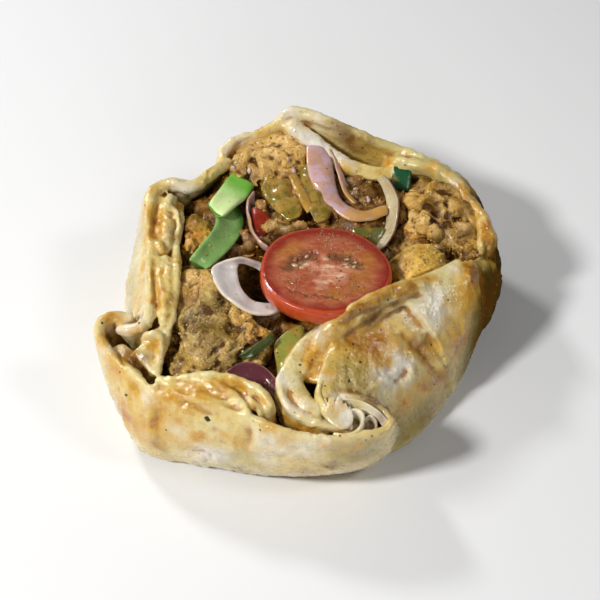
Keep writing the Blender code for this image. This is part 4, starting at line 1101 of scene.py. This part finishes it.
def shred(seed, length):
    """A bent fibre of chicken, thinner at its ends."""
    bend = []
    for t in (0, 0.2, 0.4, 0.6, 0.8, 1.0):
        sideways = 0.22 * length * math.sin(3 * t + seed)
        bend.append(Vector((length * (t - 0.5), sideways, 0.3 * math.sin(5 * t + seed) + 0.4)))
    return band(bend, [p - Vector((0, 0.8, 1.9)) for p in bend], 1.6, step=1.1, around=8, blunt=1.0, wave=1.2)


def scattered(name, base, paint, shapes, material, density, smallest, largest, turn, seed):
    """Shapes spread over a surface where it is painted, as plain mesh. The density is per square metre, and
    turn is how far they tilt. Each keeps a random tone."""
    tree = bpy.data.node_groups.new(name, "GeometryNodeTree")
    for socket, kind in (
        ("Geometry", "Geometry"), ("Density", "Float"), ("Smallest", "Float"), ("Largest", "Float"),
        ("Seed", "Int"),
    ):
        tree.interface.new_socket(socket, in_out="INPUT", socket_type="NodeSocket" + kind)
    tree.interface.new_socket("Geometry", in_out="OUTPUT", socket_type="NodeSocketGeometry")
    given = add(tree, "NodeGroupInput").outputs
    where = add(tree, "GeometryNodeInputNamedAttribute", {"Name": paint}).outputs[0]
    points = add(tree, "GeometryNodeDistributePointsOnFaces", {
        "Mesh": given["Geometry"], "Density": maths(tree, "MULTIPLY", where, given["Density"]),
        "Seed": given["Seed"],
    })
    tone = add(tree, "FunctionNodeRandomValue", {"Seed": given["Seed"]}).outputs[1]
    toned = add(tree, "GeometryNodeStoreNamedAttribute", {
        0: points.outputs["Points"], "Name": "tone", "Value": tone,
    })
    spin = add(tree, "FunctionNodeRandomValue", {
        0: (-turn, -turn, 0), 1: (turn, turn, math.tau), "Seed": 7,
    }, data_type="FLOAT_VECTOR").outputs[0]
    turned = add(tree, "FunctionNodeRotateRotation", {
        "Rotation": points.outputs["Rotation"], "Rotate By": spin,
    }, rotation_space="LOCAL")
    reach = {2: given["Smallest"], 3: given["Largest"], "Seed": 3}
    size = add(tree, "FunctionNodeRandomValue", reach).outputs[1]
    choice = add(tree, "GeometryNodeJoinGeometry")
    for shape in shapes:
        held = add(tree, "GeometryNodeObjectInfo", {"Object": shape, "As Instance": True})
        tree.links.new(held.outputs["Geometry"], choice.inputs[0])
    placed = add(tree, "GeometryNodeInstanceOnPoints", {
        "Points": toned.outputs[0], "Instance": choice.outputs[0], "Pick Instance": True,
        "Rotation": turned.outputs[0], "Scale": size,
    })
    real = add(tree, "GeometryNodeRealizeInstances", {0: placed.outputs[0]})
    soft = add(tree, "GeometryNodeSetShadeSmooth", {0: real.outputs[0]})
    finished = add(tree, "GeometryNodeSetMaterial", {0: soft.outputs[0], "Material": material})
    tree.links.new(finished.outputs[0], add(tree, "NodeGroupOutput").inputs[0])
    obj = bpy.data.objects.new(name, base.data.copy())
    bpy.context.scene.collection.objects.link(obj)
    spread = obj.modifiers.new("spread", "NODES")
    spread.node_group = tree
    values = {"Density": density, "Smallest": smallest, "Largest": largest, "Seed": seed}
    for item in tree.interface.items_tree:
        if item.in_out == "INPUT" and item.name in values:
            spread[item.identifier] = values[item.name]
    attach(settled(obj), "root")


def grain_finish(name, low, high, gloss):
    """Crumbs and shreds: each takes its own tone between two colours."""
    bits = Finish(name, low, coat=gloss, subsurface=0.05, depth=0.8)
    bits.tint(bits.painted("tone"), high)
    bits.tint(bits.effect(blotches, size=0.0010, cover=0.5, softness=0.15), tuple(0.6 * c for c in low), 0.4)
    return bits.finished(grain=0.7, dry=0.42, oily=0.12, relief=0.25)


crumbs = [shown(f"crumb_{k}", crumb(k)) for k in range(5)]
shreds = [shown(f"shred_{k}", shred(k, 6.0 + 1.4 * k)) for k in range(5)]
MASALA_BITS = grain_finish("masala_bits", (0.20, 0.075, 0.01), (0.70, 0.40, 0.08), 0.6)
CHICKEN_BITS = grain_finish("chicken_bits", (0.32, 0.14, 0.018), (0.76, 0.52, 0.16), 0.6)
LEFT_BITS = grain_finish("left_bits", (0.10, 0.045, 0.01), (0.76, 0.52, 0.18), 0.8)
ONION_BITS = grain_finish("onion_bits", (0.52, 0.28, 0.18), (0.66, 0.48, 0.42), 0.6)
ANY_WAY = 3.1
# Each with what it lies on, the paint that it follows, its shapes, its material, its density, the smallest
# and largest size, how far it tilts, and its seed.
for name, base, *spread in [
    ("masala_crumbs", "masala_heap", "open", crumbs, MASALA_BITS, 110000, 0.2, 0.8, ANY_WAY, 1),
    ("masala_shreds", "masala_heap", "open", shreds, CHICKEN_BITS, 3000, 0.4, 0.8, 0.2, 2),
    ("left_crumbs", "left_chicken", "open", crumbs, LEFT_BITS, 380000, 0.15, 0.5, ANY_WAY, 3),
    ("right_shreds", "right_chicken", "open", shreds, CHICKEN_BITS, 8000, 0.25, 0.6, 0.15, 4),
    ("right_crumbs", "right_chicken", "loose", crumbs, MASALA_BITS, 500000, 0.25, 0.8, ANY_WAY, 5),
    ("right_grains", "right_chicken", "open", crumbs, CHICKEN_BITS, 60000, 0.15, 0.5, ANY_WAY, 12),
    ("back_shreds", "back_chicken", "open", shreds, CHICKEN_BITS, 14000, 0.3, 0.7, 0.15, 6),
    ("back_grains", "back_chicken", "open", crumbs, CHICKEN_BITS, 150000, 0.15, 0.45, ANY_WAY, 13),
    ("golden_crumbs", "golden_chicken", "loose", crumbs, CHICKEN_BITS, 400000, 0.2, 0.7, ANY_WAY, 7),
    ("bread_crumbs", "bread", "brown", crumbs, MASALA_BITS, 150000, 0.12, 0.4, ANY_WAY, 14),
    ("back_onion_bits", "back_chicken", "scraps", crumbs, ONION_BITS, 14000, 0.8, 1.8, ANY_WAY, 8),
    ("onion_bits", "masala_heap", "scraps", crumbs, ONION_BITS, 14000, 0.8, 1.8, ANY_WAY, 9),
]:
    scattered(name, meats.get(base, bread), *spread)


# The tomato: one thick end slice of a ripe tomato, laid cut side up and tipped a little forward. The cut
# face has a fleshy wall under the skin, a pink core, and sunken pockets of jelly with seeds.

TOMATO_RADIUS = 27.2
TOMATO_THICKNESS = 12.0
TOMATO_SEAT = (10.3, -10.2, 41.0)
TOMATO_TIP_FORWARD = math.radians(-7.5)
TOMATO_TIP_RIGHT = math.radians(1.5)
TOMATO_DEPTH_SHARE = 1.02
FACE_RINGS, FACE_SPOKES = 70, 260
POCKETS = [
    ([(-15, 0.5, 0), (-12, 5.0, 0), (-6, 8.6, 0)], 3.3, 0.8),
    ([(4, 7.4, 0), (10, 6.4, 0), (14, 2.4, 0)], 2.7, 0.7),
    ([(-16, -14, 0), (-9, -17.5, 0), (-2, -18.2, 0), (5, -19.6, 0)], 0.7, 0.6),
]
TOMATO_SPOTS = {
    "tan": [((-17, 8, 0), 4.5), ((-14, 12, 0), 4.5), ((18, 4, 0), 5), ((15, -4, 0), 5), ((20, 8, 0), 4),
            ((4, -17, 0), 4), ((13, -12, 0), 5), ((10, 9, 0), 3.5)],
    "core": [((1, -1, 0), 4), ((-5, 0.5, 0), 3), ((4, -6, 0), 4.5), ((-9, 1, 0), 2.5), ((9, 0.5, 0), 3),
             ((0, 6, 0), 2.5), ((-2, -10, 0), 3)],
}
# Seeds by their place on the face, their turn in degrees and their length in millimetres, and clusters of
# fine tan grains and pepper, each with its place, its spread and how many.
SEEDS = [
    (-12.6, 1.8, -25, 3.0), (-9.6, 0.2, 12, 3.6), (-6.6, 1.6, 40, 2.8), (-12.6, 5.8, 75, 2.2),
    (-7.6, 8.0, 50, 2.4), (6.0, 1.2, -30, 2.8), (8.8, 2.6, 15, 3.2), (12.2, 1.6, 50, 2.4),
    (13.0, 4.6, 70, 2.0), (9.4, 6.4, 20, 2.2), (-14.5, -10.0, -30, 2.2), (-1.0, -14.6, 10, 2.4),
    (5.0, -12.5, -10, 2.6), (8.5, -14.5, 25, 2.8), (-6.5, -16.2, 5, 2.2),
]
GRAIN_CLUSTERS = [
    ((3, 19, 0), 6.5, 60), ((-9, 6, 0), 6.5, 24), ((9, 5, 0), 6.0, 20), ((-13, -9, 0), 4.5, 34),
    ((10, -13, 0), 8.5, 70), ((13, 13, 0), 4.5, 20), ((0, 0, 0), 18.0, 90),
]


tomato_pose = (
    Matrix.Scale(MM, 4) @ Matrix.Translation(Vector(TOMATO_SEAT))
    @ Matrix.Rotation(TOMATO_TIP_FORWARD, 4, "X") @ Matrix.Rotation(TOMATO_TIP_RIGHT, 4, "Y")
)


def tomato_mesh():
    """A grid over the face, the skin and the underside. Returns the mesh and each vertex's paint."""
    mesh = bmesh.new()
    paint = {"pocket": [], "rind": [], "tan": [], "core": [], "skin": []}
    skin = [(1.0, -0.35), (1.012, -1.0), (1.022, -2.0), (1.028, -3.2), (1.025, -4.8), (1.005, -6.6),
            (0.965, -8.4), (0.9, -9.9), (0.76, -11.2), (0.5, -11.9), (0.2, -12.0)]
    profile = [(0.002 + 0.985 * (i / FACE_RINGS) ** 0.8, 0.0) for i in range(FACE_RINGS + 1)] + skin
    rings = []
    for share, drop in profile:
        ring = []
        for j in range(FACE_SPOKES):
            turn = math.tau * j / FACE_SPOKES
            lobe = 1 + 0.012 * math.cos(5 * turn + 0.6) + 0.008 * math.cos(3 * turn)
            reach = TOMATO_RADIUS * share * lobe
            flat = Vector((reach * math.cos(turn), reach * math.sin(turn) * TOMATO_DEPTH_SHARE, 0))
            on_face = drop == 0.0
            pocket = 0.0
            sink = 0.0
            if on_face:
                ragged = flat + noise.noise_vector(flat / 3) * 2.0
                for path, width, depth in POCKETS:
                    far = distance_to(np.array([ragged[:]]), path)[0][0]
                    inside = min(max(1.5 - far / width, 0), 1)
                    pocket = max(pocket, inside)
                    sink = max(sink, depth * inside)
            swell = 0.25 * noise.noise(flat / 7) + 0.12 * noise.noise(flat / 1.8) if on_face else 0.0
            shoulder = -0.5 * max(0, (share - 0.93) / 0.06) ** 2 if on_face else 0.0
            height = TOMATO_THICKNESS + drop + swell - sink + shoulder
            ring.append(mesh.verts.new(flat + Vector((0, 0, height))))
            wavy = share + 0.07 * noise.noise(flat / 6) + 0.05 * flat.y / TOMATO_RADIUS
            paint["pocket"].append(pocket)
            paint["rind"].append(min(max((wavy - 0.76) / 0.16, 0), 1))
            paint["skin"].append(0.0 if on_face and share < 0.975 else 1.0)
            bent = flat + noise.noise_vector(flat / 3) * 2.2
            for kind, spots in TOMATO_SPOTS.items():
                away = min((bent - Vector(middle)).length / radius for middle, radius in spots)
                paint[kind].append(min(max(1.5 - away, 0), 1))
        rings.append(ring)
    for near, far in zip(rings, rings[1:]):
        for j in range(FACE_SPOKES):
            k = (j + 1) % FACE_SPOKES
            mesh.faces.new((near[j], far[j], far[k], near[k]))
    for ring in (rings[0], rings[-1]):
        mesh.faces.new(ring)
    bmesh.ops.triangulate(mesh, faces=[f for f in mesh.faces if len(f.verts) > 4])
    bmesh.ops.recalc_face_normals(mesh, faces=mesh.faces)
    mesh.transform(tomato_pose)
    return mesh, paint


def tomato_finish():
    """Wet tomato: red skin and wall, paler flesh, and brownish jelly in the pockets."""
    flesh = Finish(
        "tomato", (0.34, 0.048, 0.020), coat=0.6, subsurface=0.22, bleed=(1.0, 0.25, 0.12), depth=2.0)
    broad = flesh.effect(blotches, size=0.009, cover=0.5, softness=0.12)
    small = flesh.effect(blotches, size=0.003, cover=0.55, softness=0.15)
    fine = flesh.effect(blotches, size=0.0016, cover=0.5, softness=0.15)
    flesh.tint(broad, (0.38, 0.085, 0.030))
    flesh.tint(small, (0.46, 0.14, 0.07), 0.5)
    flesh.tint(flesh.times(flesh.painted("tan"), flesh.spread(fine, -1.0, 0.8)), (0.42, 0.16, 0.022))
    flesh.tint(fine, (0.44, 0.14, 0.05), 0.3)
    across = {"Vector": flesh.place, "Scale": (180.0, 420.0, 180.0)}
    across = add(flesh.tree, "ShaderNodeMapping", across).outputs[0]
    threads = add(flesh.tree, "ShaderNodeTexNoise", {"Vector": across, "Scale": 1.0, "Detail": 3.0})
    pale_thread = flesh.spread(threads.outputs["Fac"], 0.48, 0.64)
    flesh.tint(pale_thread, (0.58, 0.22, 0.12), 0.4)
    pulp = flesh.times(flesh.painted("core"), flesh.spread(small, -0.9, 0.9))
    flesh.tint(pulp, (0.62, 0.26, 0.15))
    flesh.tint(flesh.times(pulp, pale_thread), (0.74, 0.50, 0.33))
    flesh.tint(flesh.painted("rind"), (0.26, 0.018, 0.010), 0.9)
    flesh.tint(flesh.painted("skin"), (0.50, 0.065, 0.015), 0.95)
    clot = flesh.times(flesh.painted("pocket"), flesh.spread(small, -0.5, 0.7))
    flesh.tint(clot, (0.15, 0.065, 0.025), 0.85)
    specks = flesh.effect(pepper, spacing=0.0022, size=0.00028, share=0.35)
    flesh.tint(specks, (0.07, 0.035, 0.012), 0.8)
    return flesh.finished(grain=1.2, dry=0.40, oily=0.15, relief=0.09)


tomato_shape, tomato_paint = tomato_mesh()
tomato = shown("tomato", tomato_shape)
for kind, values in tomato_paint.items():
    attribute(tomato, kind, np.array(values))
tomato.data.shade_smooth()
tomato.data.materials.append(tomato_finish())
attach(tomato, "root")
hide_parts("tomato_slice")

seed_mesh = bmesh.new()
seed_form = Matrix.Diagonal((1.0, 0.6, 0.4, 1.0))
cream = []
for x, y, turn, length in SEEDS:
    made = bmesh.ops.create_icosphere(seed_mesh, subdivisions=2, radius=length / 2 * 1.15)["verts"]
    cream += [0.75] * len(made)
    spot = Matrix.Translation((x, y, TOMATO_THICKNESS - 0.6)) @ Matrix.Rotation(math.radians(turn), 4, "Z")
    bmesh.ops.transform(seed_mesh, verts=made, matrix=tomato_pose @ spot @ seed_form)
sprinkle = np.random.default_rng(4)
for place, spread, count in GRAIN_CLUSTERS:
    for x, y in sprinkle.normal(place[:2], spread * 0.5, (count, 2)):
        if math.hypot(x, y) < TOMATO_RADIUS * 0.94:
            radius = sprinkle.uniform(0.2, 0.6)
            made = bmesh.ops.create_icosphere(seed_mesh, subdivisions=1, radius=radius)["verts"]
            cream += [sprinkle.uniform(0.0, 0.35)] * len(made)
            spot = Matrix.Translation((x, y, TOMATO_THICKNESS + 0.05))
            flat = Matrix.Diagonal((1.0, sprinkle.uniform(0.6, 1.0), 0.6, 1.0))
            bmesh.ops.transform(seed_mesh, verts=made, matrix=tomato_pose @ spot @ flat)
seeds = shown("tomato_seeds", seed_mesh)
seeds.data.shade_smooth()
attribute(seeds, "tone", np.array(cream))
pip = Finish("tomato_seed", (0.34, 0.15, 0.05), coat=0.6, subsurface=0.3, bleed=(1.0, 0.7, 0.4), depth=1.0)
pip.tint(pip.effect(blotches, size=0.0030, cover=0.5, softness=0.08), (0.20, 0.06, 0.02))
pip.tint(pip.painted("tone"), (0.64, 0.46, 0.26))
seeds.data.materials.append(pip.finished(grain=0.6, dry=0.4, oily=0.15, relief=0.06))
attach(seeds, "root")


# The onion: a red onion cut across in rings and slices. A ring stands on edge under the tomato, a broad pink
# slice curls behind it, two thin arcs lie beside it, and a purple piece shows behind the front wall.

RING = (
    [at(236, 258, 51), at(222, 261, 51.5), at(212, 268, 51.5), at(213, 280, 51), at(220, 292, 50),
     at(231, 303, 48.5), at(245, 311, 47), at(261, 314, 45.5), at(277, 312, 44), at(284, 303, 41),
     at(279, 286, 41), at(268, 269, 43), at(252, 260, 47)],
    [at(239, 264, 47), at(238, 266, 47), at(237, 270, 46.5), at(238, 279, 46), at(241, 288, 45),
     at(246, 296, 44), at(254, 302, 43), at(263, 304, 42), at(272, 303, 40), at(276, 297, 37.5),
     at(273, 286, 37.5), at(263, 273, 39.5), at(249, 265, 44)],
)
PINK_SLICE = (
    [at(306, 146, 52), at(307, 168, 50.5), at(315, 189, 49), at(326, 203, 47.5), at(339, 214, 46.5),
     at(353, 221, 46), at(370, 220, 45.5), at(388, 213, 44.5)],
    [at(325, 147, 50), at(332, 163, 49), at(335, 180, 48), at(339, 196, 46), at(348, 206, 44),
     at(360, 211, 43), at(374, 210, 43), at(387, 205, 41.5)],
)
RIGHT_ARC = (
    [at(383, 175, 49), at(391, 183, 49), at(398, 198, 48), at(398, 216, 46.5), at(394, 232, 45),
     at(386, 245, 43), at(376, 252, 41.5)],
    [at(377, 180, 45), at(383, 190, 44), at(387, 203, 43), at(387, 218, 42), at(383, 232, 41),
     at(376, 243, 40), at(370, 249, 39)],
)
LEFT_ARC = (
    [at(254, 190, 49), at(249, 200, 49.5), at(248, 212, 49), at(251, 226, 47.5), at(258, 238, 45.5),
     at(268, 247, 44)],
    [at(255, 202, 42), at(252, 210, 42), at(252, 222, 42), at(256, 236, 41), at(263, 247, 40),
     at(272, 254, 39)],
)
FRONT_ONION = (
    [(-32, -54, 37.5), (-24, -49, 39.8), (-15, -51, 39.8), (-9, -58, 38)],
    [(-30, -59, 33), (-23, -56, 34), (-15, -58, 34), (-9, -64, 33)],
)


def onion_finish(name, inner, outer, edge, stain, soiled=0.0):
    """Onion: clear flesh with fine lines along it, a coloured skin on the outer side and the cut edges, and
    masala on its far half where it is soiled."""
    onion = Finish(name, inner, coat=0.45, subsurface=0.35, bleed=(1.0, 0.75, 0.6), depth=2.0)
    strip = add(onion.tree, "ShaderNodeUVMap", uv_map="strip").outputs[0]
    parts = add(onion.tree, "ShaderNodeSeparateXYZ", {0: strip})
    lines = add(onion.tree, "ShaderNodeMapping", {"Vector": strip, "Scale": (2.0, 40.0, 1.0)})
    streak = add(onion.tree, "ShaderNodeTexNoise", {"Vector": lines.outputs[0], "Scale": 3.0, "Detail": 3.0})
    around = parts.outputs[1]
    outside = onion.times(onion.spread(around, 0.02, 0.10), onion.spread(around, 0.50, 0.40))
    upper = onion.times(onion.spread(around, 0.40, 0.47), onion.spread(around, 0.60, 0.53))
    blush = onion.effect(blotches, size=0.010, cover=0.55, softness=0.15)
    onion.tint(onion.spread(streak.outputs["Fac"], 0.35, 0.7), tuple(0.74 * c for c in inner))
    onion.tint(blush, tuple((a + b) / 2 for a, b in zip(inner, outer)), 0.5)
    onion.tint(outside, outer, 0.85)
    onion.tint(upper, edge, 0.7)
    onion.tint(onion.effect(blotches, size=0.006, cover=stain, softness=0.08), (0.52, 0.25, 0.05), 0.55)
    far_half = onion.times(onion.spread(parts.outputs[0], 0.5, 0.8), onion.spread(blush, -0.8, 0.8))
    onion.tint(far_half, (0.56, 0.29, 0.05), soiled)
    return onion.finished(grain=2.2, dry=0.34, oily=0.12, relief=0.14)


WHITE_ONION = onion_finish("white_onion", (0.82, 0.77, 0.72), (0.74, 0.68, 0.68), (0.74, 0.62, 0.42), 0.34)
PINK_ONION = onion_finish(
    "pink_onion", (0.68, 0.54, 0.55), (0.56, 0.36, 0.40), (0.56, 0.34, 0.18), 0.50, soiled=0.9)
DULL_ONION = onion_finish("dull_onion", (0.60, 0.46, 0.42), (0.44, 0.27, 0.27), (0.46, 0.30, 0.22), 0.5)
ARC_ONION = onion_finish("arc_onion", (0.64, 0.57, 0.33), (0.20, 0.07, 0.09), (0.16, 0.055, 0.08), 0.42)
PURPLE_ONION = onion_finish(
    "purple_onion", (0.30, 0.12, 0.15), (0.11, 0.024, 0.034), (0.30, 0.13, 0.13), 0.36)

# Each piece with its node, its slot, its edges, its thickness and bulge, whether it is a closed ring, and
# its material.
ONIONS = [
    ("onion_ring_slice", "onion_ring", "onion_white", RING, 2.2, 0.5, True, WHITE_ONION),
    ("onion_pink_slice", "onion_band", "onion_pink", PINK_SLICE, 2.0, 0.9, False, PINK_ONION),
    ("onion_right_strip", "onion_arc_right", "onion_white", RIGHT_ARC, 2.0, 1.0, False, ARC_ONION),
    ("onion_left_strip", "onion_arc_left", "onion_white", LEFT_ARC, 1.6, 0.5, False, DULL_ONION),
    ("onion_front_slice", "onion_front", "onion_purple", FRONT_ONION, 3.0, -2.0, False, PURPLE_ONION),
]


def laid_in(name, node, slot, edges, thickness, belly, closed, material, wave=0.7):
    """A strip of vegetable in the place of its node."""
    piece = shown(name, band(*edges, thickness, belly, closed, step=0.7, around=32, blunt=0.7, wave=wave))
    piece.data.shade_smooth()
    piece.data.materials.append(material)
    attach(piece, "root")
    if node:
        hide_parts(node)
    return piece


strips = {row[0]: laid_in(*row) for row in ONIONS}
PINK_LAYER = (
    [at(329, 148, 51), at(335, 163, 49.5), at(340, 180, 48), at(345, 194, 47), at(354, 204, 45.5)],
    [at(334, 154, 46), at(339, 167, 45), at(344, 182, 44), at(349, 195, 43), at(357, 204, 42)],
)
laid_in("onion_pink_layer", None, None, PINK_LAYER, 1.3, 0.3, False, PINK_ONION)


# The capsicum and the chilli: two raw strips of green capsicum on the left, a dark one at the back, soft
# cooked pieces in the middle and at the front, and a strip of dark green chilli.

LIGHT_STRIP = (
    [at(233, 172, 47), at(221, 187, 50), at(208, 205, 52)],
    [at(255, 186, 45), at(245, 199, 48), at(223, 217, 50)],
)
DARK_STRIP = (
    [at(206, 202, 46), at(215, 214, 47), at(214, 227, 48), at(202, 243, 49.5), at(188, 260, 49)],
    [at(236, 200, 42), at(243, 218, 42), at(240, 235, 42), at(226, 253, 43), at(208, 270, 44)],
)
BACK_STRIP = ([(41, 62, 47), (46, 63, 47), (51, 60, 47)], [(42, 52, 40), (46, 51, 40), (50, 50, 40)])
SOFT_MIDDLE = (
    [at(302, 166, 46.5), at(299, 182, 47.5), at(303, 197, 48.5), at(308, 211, 48), at(317, 223, 47)],
    [at(316, 165, 46), at(323, 180, 47), at(329, 194, 47), at(333, 207, 46.5), at(327, 220, 46.5)],
)
SOFT_LEFT = (
    [at(262, 182, 46.5), at(263, 194, 47), at(270, 205, 47.5), at(279, 214, 47.5), at(289, 221, 47)],
    [at(280, 174, 46.5), at(291, 184, 47.5), at(295, 194, 47), at(303, 204, 48), at(300, 217, 47)],
)
SOFT_FLAP = (
    [at(288, 176, 48.5), at(294, 190, 49.5), at(301, 203, 49.5), at(307, 214, 48)],
    [at(297, 173, 48), at(304, 187, 49), at(311, 200, 49), at(313, 211, 48)],
)
SOFT_RIGHT = ([(22, 24, 43), (30, 24, 44), (38, 25, 43)], [(25, 15, 38), (31, 12, 38), (36, 16, 38)])
SOFT_FRONT = ([(-11, -40, 40), (-5, -34, 42), (1, -31, 43)], [(-9, -56, 38), (-2, -50, 39), (4, -42, 40)])
CHILLI = (
    [at(240, 354, 45), at(252, 347, 46), at(264, 339, 46.5), at(272, 331, 46)],
    [at(243, 360, 42), at(256, 354, 43), at(268, 346, 43.5), at(275, 338, 44)],
)
RED_PIECE = (
    [at(251, 206, 47.5), at(262, 211, 47.5), at(274, 221, 46)],
    [at(253, 242, 43), at(262, 239, 43), at(269, 233, 44)],
)


# How far from the upper edge the skin begins and is full, as a share of the way round a strip.
SKIN_FROM, SKIN_FULL = 0.26, 0.40


def capsicum_finish(name, flesh, skin, stain, gloss, pale=None):
    """Capsicum: wet flesh, darker skin towards the lower edge, and a paler far end where pale is given."""
    green = Finish(name, flesh, coat=gloss, subsurface=0.25, bleed=(0.6, 1.0, 0.3), depth=1.5)
    strip = add(green.tree, "ShaderNodeUVMap", uv_map="strip").outputs[0]
    along, around = add(green.tree, "ShaderNodeSeparateXYZ", {0: strip}).outputs[:2]
    from_top = maths(green.tree, "ABSOLUTE", maths(green.tree, "SUBTRACT", around, 0.5), 0.0)
    broad = green.effect(blotches, size=0.006, cover=0.5, softness=0.15)
    green.tint(broad, tuple(0.72 * c for c in flesh), 0.5)
    green.tint(green.spread(from_top, SKIN_FROM, SKIN_FULL), skin)
    if pale:
        green.tint(green.spread(along, 0.25, 0.8), pale)
    green.tint(green.effect(blotches, size=0.005, cover=stain, softness=0.10), (0.46, 0.26, 0.05), 0.7)
    specks = green.effect(pepper, spacing=0.0022, size=0.00028, share=0.3)
    green.tint(specks, (0.05, 0.04, 0.015), 0.75)
    return green.finished(grain=1.8, dry=0.38, oily=0.12, relief=0.2)


LIGHT_GREEN = capsicum_finish(
    "light_capsicum", (0.20, 0.52, 0.06), (0.12, 0.40, 0.03), 0.22, 0.5, pale=(0.66, 0.82, 0.36))
DARK_GREEN = capsicum_finish(
    "dark_capsicum", (0.22, 0.38, 0.12), (0.03, 0.14, 0.01), 0.24, 0.6, pale=(0.26, 0.46, 0.13))
BACK_GREEN = capsicum_finish("back_capsicum", (0.012, 0.085, 0.03), (0.01, 0.06, 0.02), 0.40, 0.4)
SOFT_GREEN = capsicum_finish("cooked_capsicum", (0.21, 0.16, 0.016), (0.22, 0.115, 0.010), 0.54, 0.9)
SAUCED = capsicum_finish("sauced_capsicum", (0.44, 0.24, 0.035), (0.30, 0.14, 0.015), 0.5, 0.9)
SOFT_DARK = capsicum_finish("dark_cooked_capsicum", (0.13, 0.12, 0.02), (0.05, 0.055, 0.01), 0.35, 0.8)
WET_GREEN = capsicum_finish("wet_capsicum", (0.30, 0.32, 0.05), (0.18, 0.20, 0.025), 0.50, 0.9)
CHILLI_GREEN = capsicum_finish("chilli", (0.06, 0.09, 0.02), (0.025, 0.05, 0.01), 0.25, 1.0)
RED = capsicum_finish("red_piece", (0.24, 0.018, 0.005), (0.10, 0.007, 0.003), 0.35, 0.6)

# As with the onions. The soft pieces on the left and in the middle have a height of their waves too.
CAPSICUMS = [
    ("red_piece", "tomato_piece", "tomato", RED_PIECE, 4.0, 0.5, False, RED),
    ("capsicum_light_strip", "capsicum_light", "capsicum_light", LIGHT_STRIP, 4.6, 1.0, False, LIGHT_GREEN),
    ("capsicum_dark_strip", "capsicum_dark", "capsicum_dark", DARK_STRIP, 4.6, 2.0, False, DARK_GREEN),
    ("capsicum_back_strip", "capsicum_back", "capsicum_dark", BACK_STRIP, 4.6, 0.5, False, BACK_GREEN),
    ("capsicum_soft_middle", "capsicum_cooked_middle", "capsicum_cooked", SOFT_MIDDLE, 2.6, 0.6, False,
     SOFT_GREEN, 2.0),
    ("capsicum_soft_left", "capsicum_cooked_left", "capsicum_cooked", SOFT_LEFT, 2.6, 0.6, False,
     SOFT_GREEN, 2.0),
    ("capsicum_soft_right", "capsicum_cooked_right", "capsicum_cooked", SOFT_RIGHT, 3.6, 1.0, False,
     SOFT_DARK),
    ("capsicum_soft_front", "capsicum_front", "capsicum_cooked", SOFT_FRONT, 3.6, -1.5, False, WET_GREEN),
    ("chilli_strip", "chilli_front", "chilli", CHILLI, 3.0, -1.0, False, CHILLI_GREEN),
]
strips.update({row[0]: laid_in(*row) for row in CAPSICUMS})
laid_in("capsicum_sauced_flap", None, None, SOFT_FLAP, 1.6, 0.4, False, SAUCED)

# Crumbs of masala lie on the upper side of the cooked pieces and the slices near them.
STRIP_FACING_UP = 0.3
for seed, (name, density) in enumerate([
    ("capsicum_soft_middle", 60000), ("capsicum_soft_left", 80000), ("capsicum_soft_right", 60000),
    ("capsicum_soft_front", 60000), ("red_piece", 40000), ("onion_front_slice", 30000),
    ("onion_pink_slice", 9000), ("onion_ring_slice", 5000), ("capsicum_dark_strip", 20000),
    ("onion_left_strip", 20000), ("onion_right_strip", 12000),
]):
    strip = strips[name]
    attribute(strip, "open", normal_array(strip)[:, 2] > STRIP_FACING_UP)
    scattered(name + "_crumbs", strip, "open", crumbs, MASALA_BITS, density, 0.15, 0.7, ANY_WAY, 20 + seed)
for shape in crumbs + shreds:
    bpy.data.objects.remove(shape)


# The floor and the light. A plain pale surface, one large soft light from the front left, as the photo has
# it, and weaker ones from behind, from in front and from the right.

floor_mesh = bmesh.new()
bmesh.ops.create_grid(floor_mesh, x_segments=1, y_segments=1, size=3.0)
floor = shown("floor", floor_mesh)
floor.data.materials.append(bpy.data.materials.new("pale_floor"))
floor.data.materials[0].use_nodes = True
floor_shader = floor.data.materials[0].node_tree.nodes["Principled BSDF"]
floor_shader.inputs["Base Color"].default_value = (0.8, 0.8, 0.8, 1)
floor_shader.inputs["Roughness"].default_value = 0.8

# Each with its place and its width in metres, and its power in watts.
LIGHTS = {
    "key": ((-0.70, -0.40, 0.80), 0.18, 10.6),
    "back": ((-0.50, 0.60, 0.70), 0.16, 4.0),
    "sheen": ((0.15, -0.95, 0.40), 0.30, 1.3),
    "right sheen": ((0.62, -0.18, 0.74), 0.20, 1.5),
}
for name, (place, width, power) in LIGHTS.items():
    lamp = bpy.data.objects.new(name, bpy.data.lights.new(name, "AREA"))
    bpy.context.scene.collection.objects.link(lamp)
    lamp.data.shape = "DISK"
    lamp.data.size = width
    lamp.data.energy = power
    lamp.location = place
    lamp.rotation_mode = "QUATERNION"
    lamp.rotation_quaternion = (VIEW_AIM - Vector(place)).to_track_quat("-Z", "Y")

world = bpy.data.worlds.new("studio")
world.use_nodes = True
world.node_tree.nodes["Background"].inputs["Color"].default_value = (1.0, 1.0, 1.0, 1.0)
world.node_tree.nodes["Background"].inputs["Strength"].default_value = 0.08
bpy.context.scene.world = world
bpy.context.scene.view_settings.view_transform = "Standard"
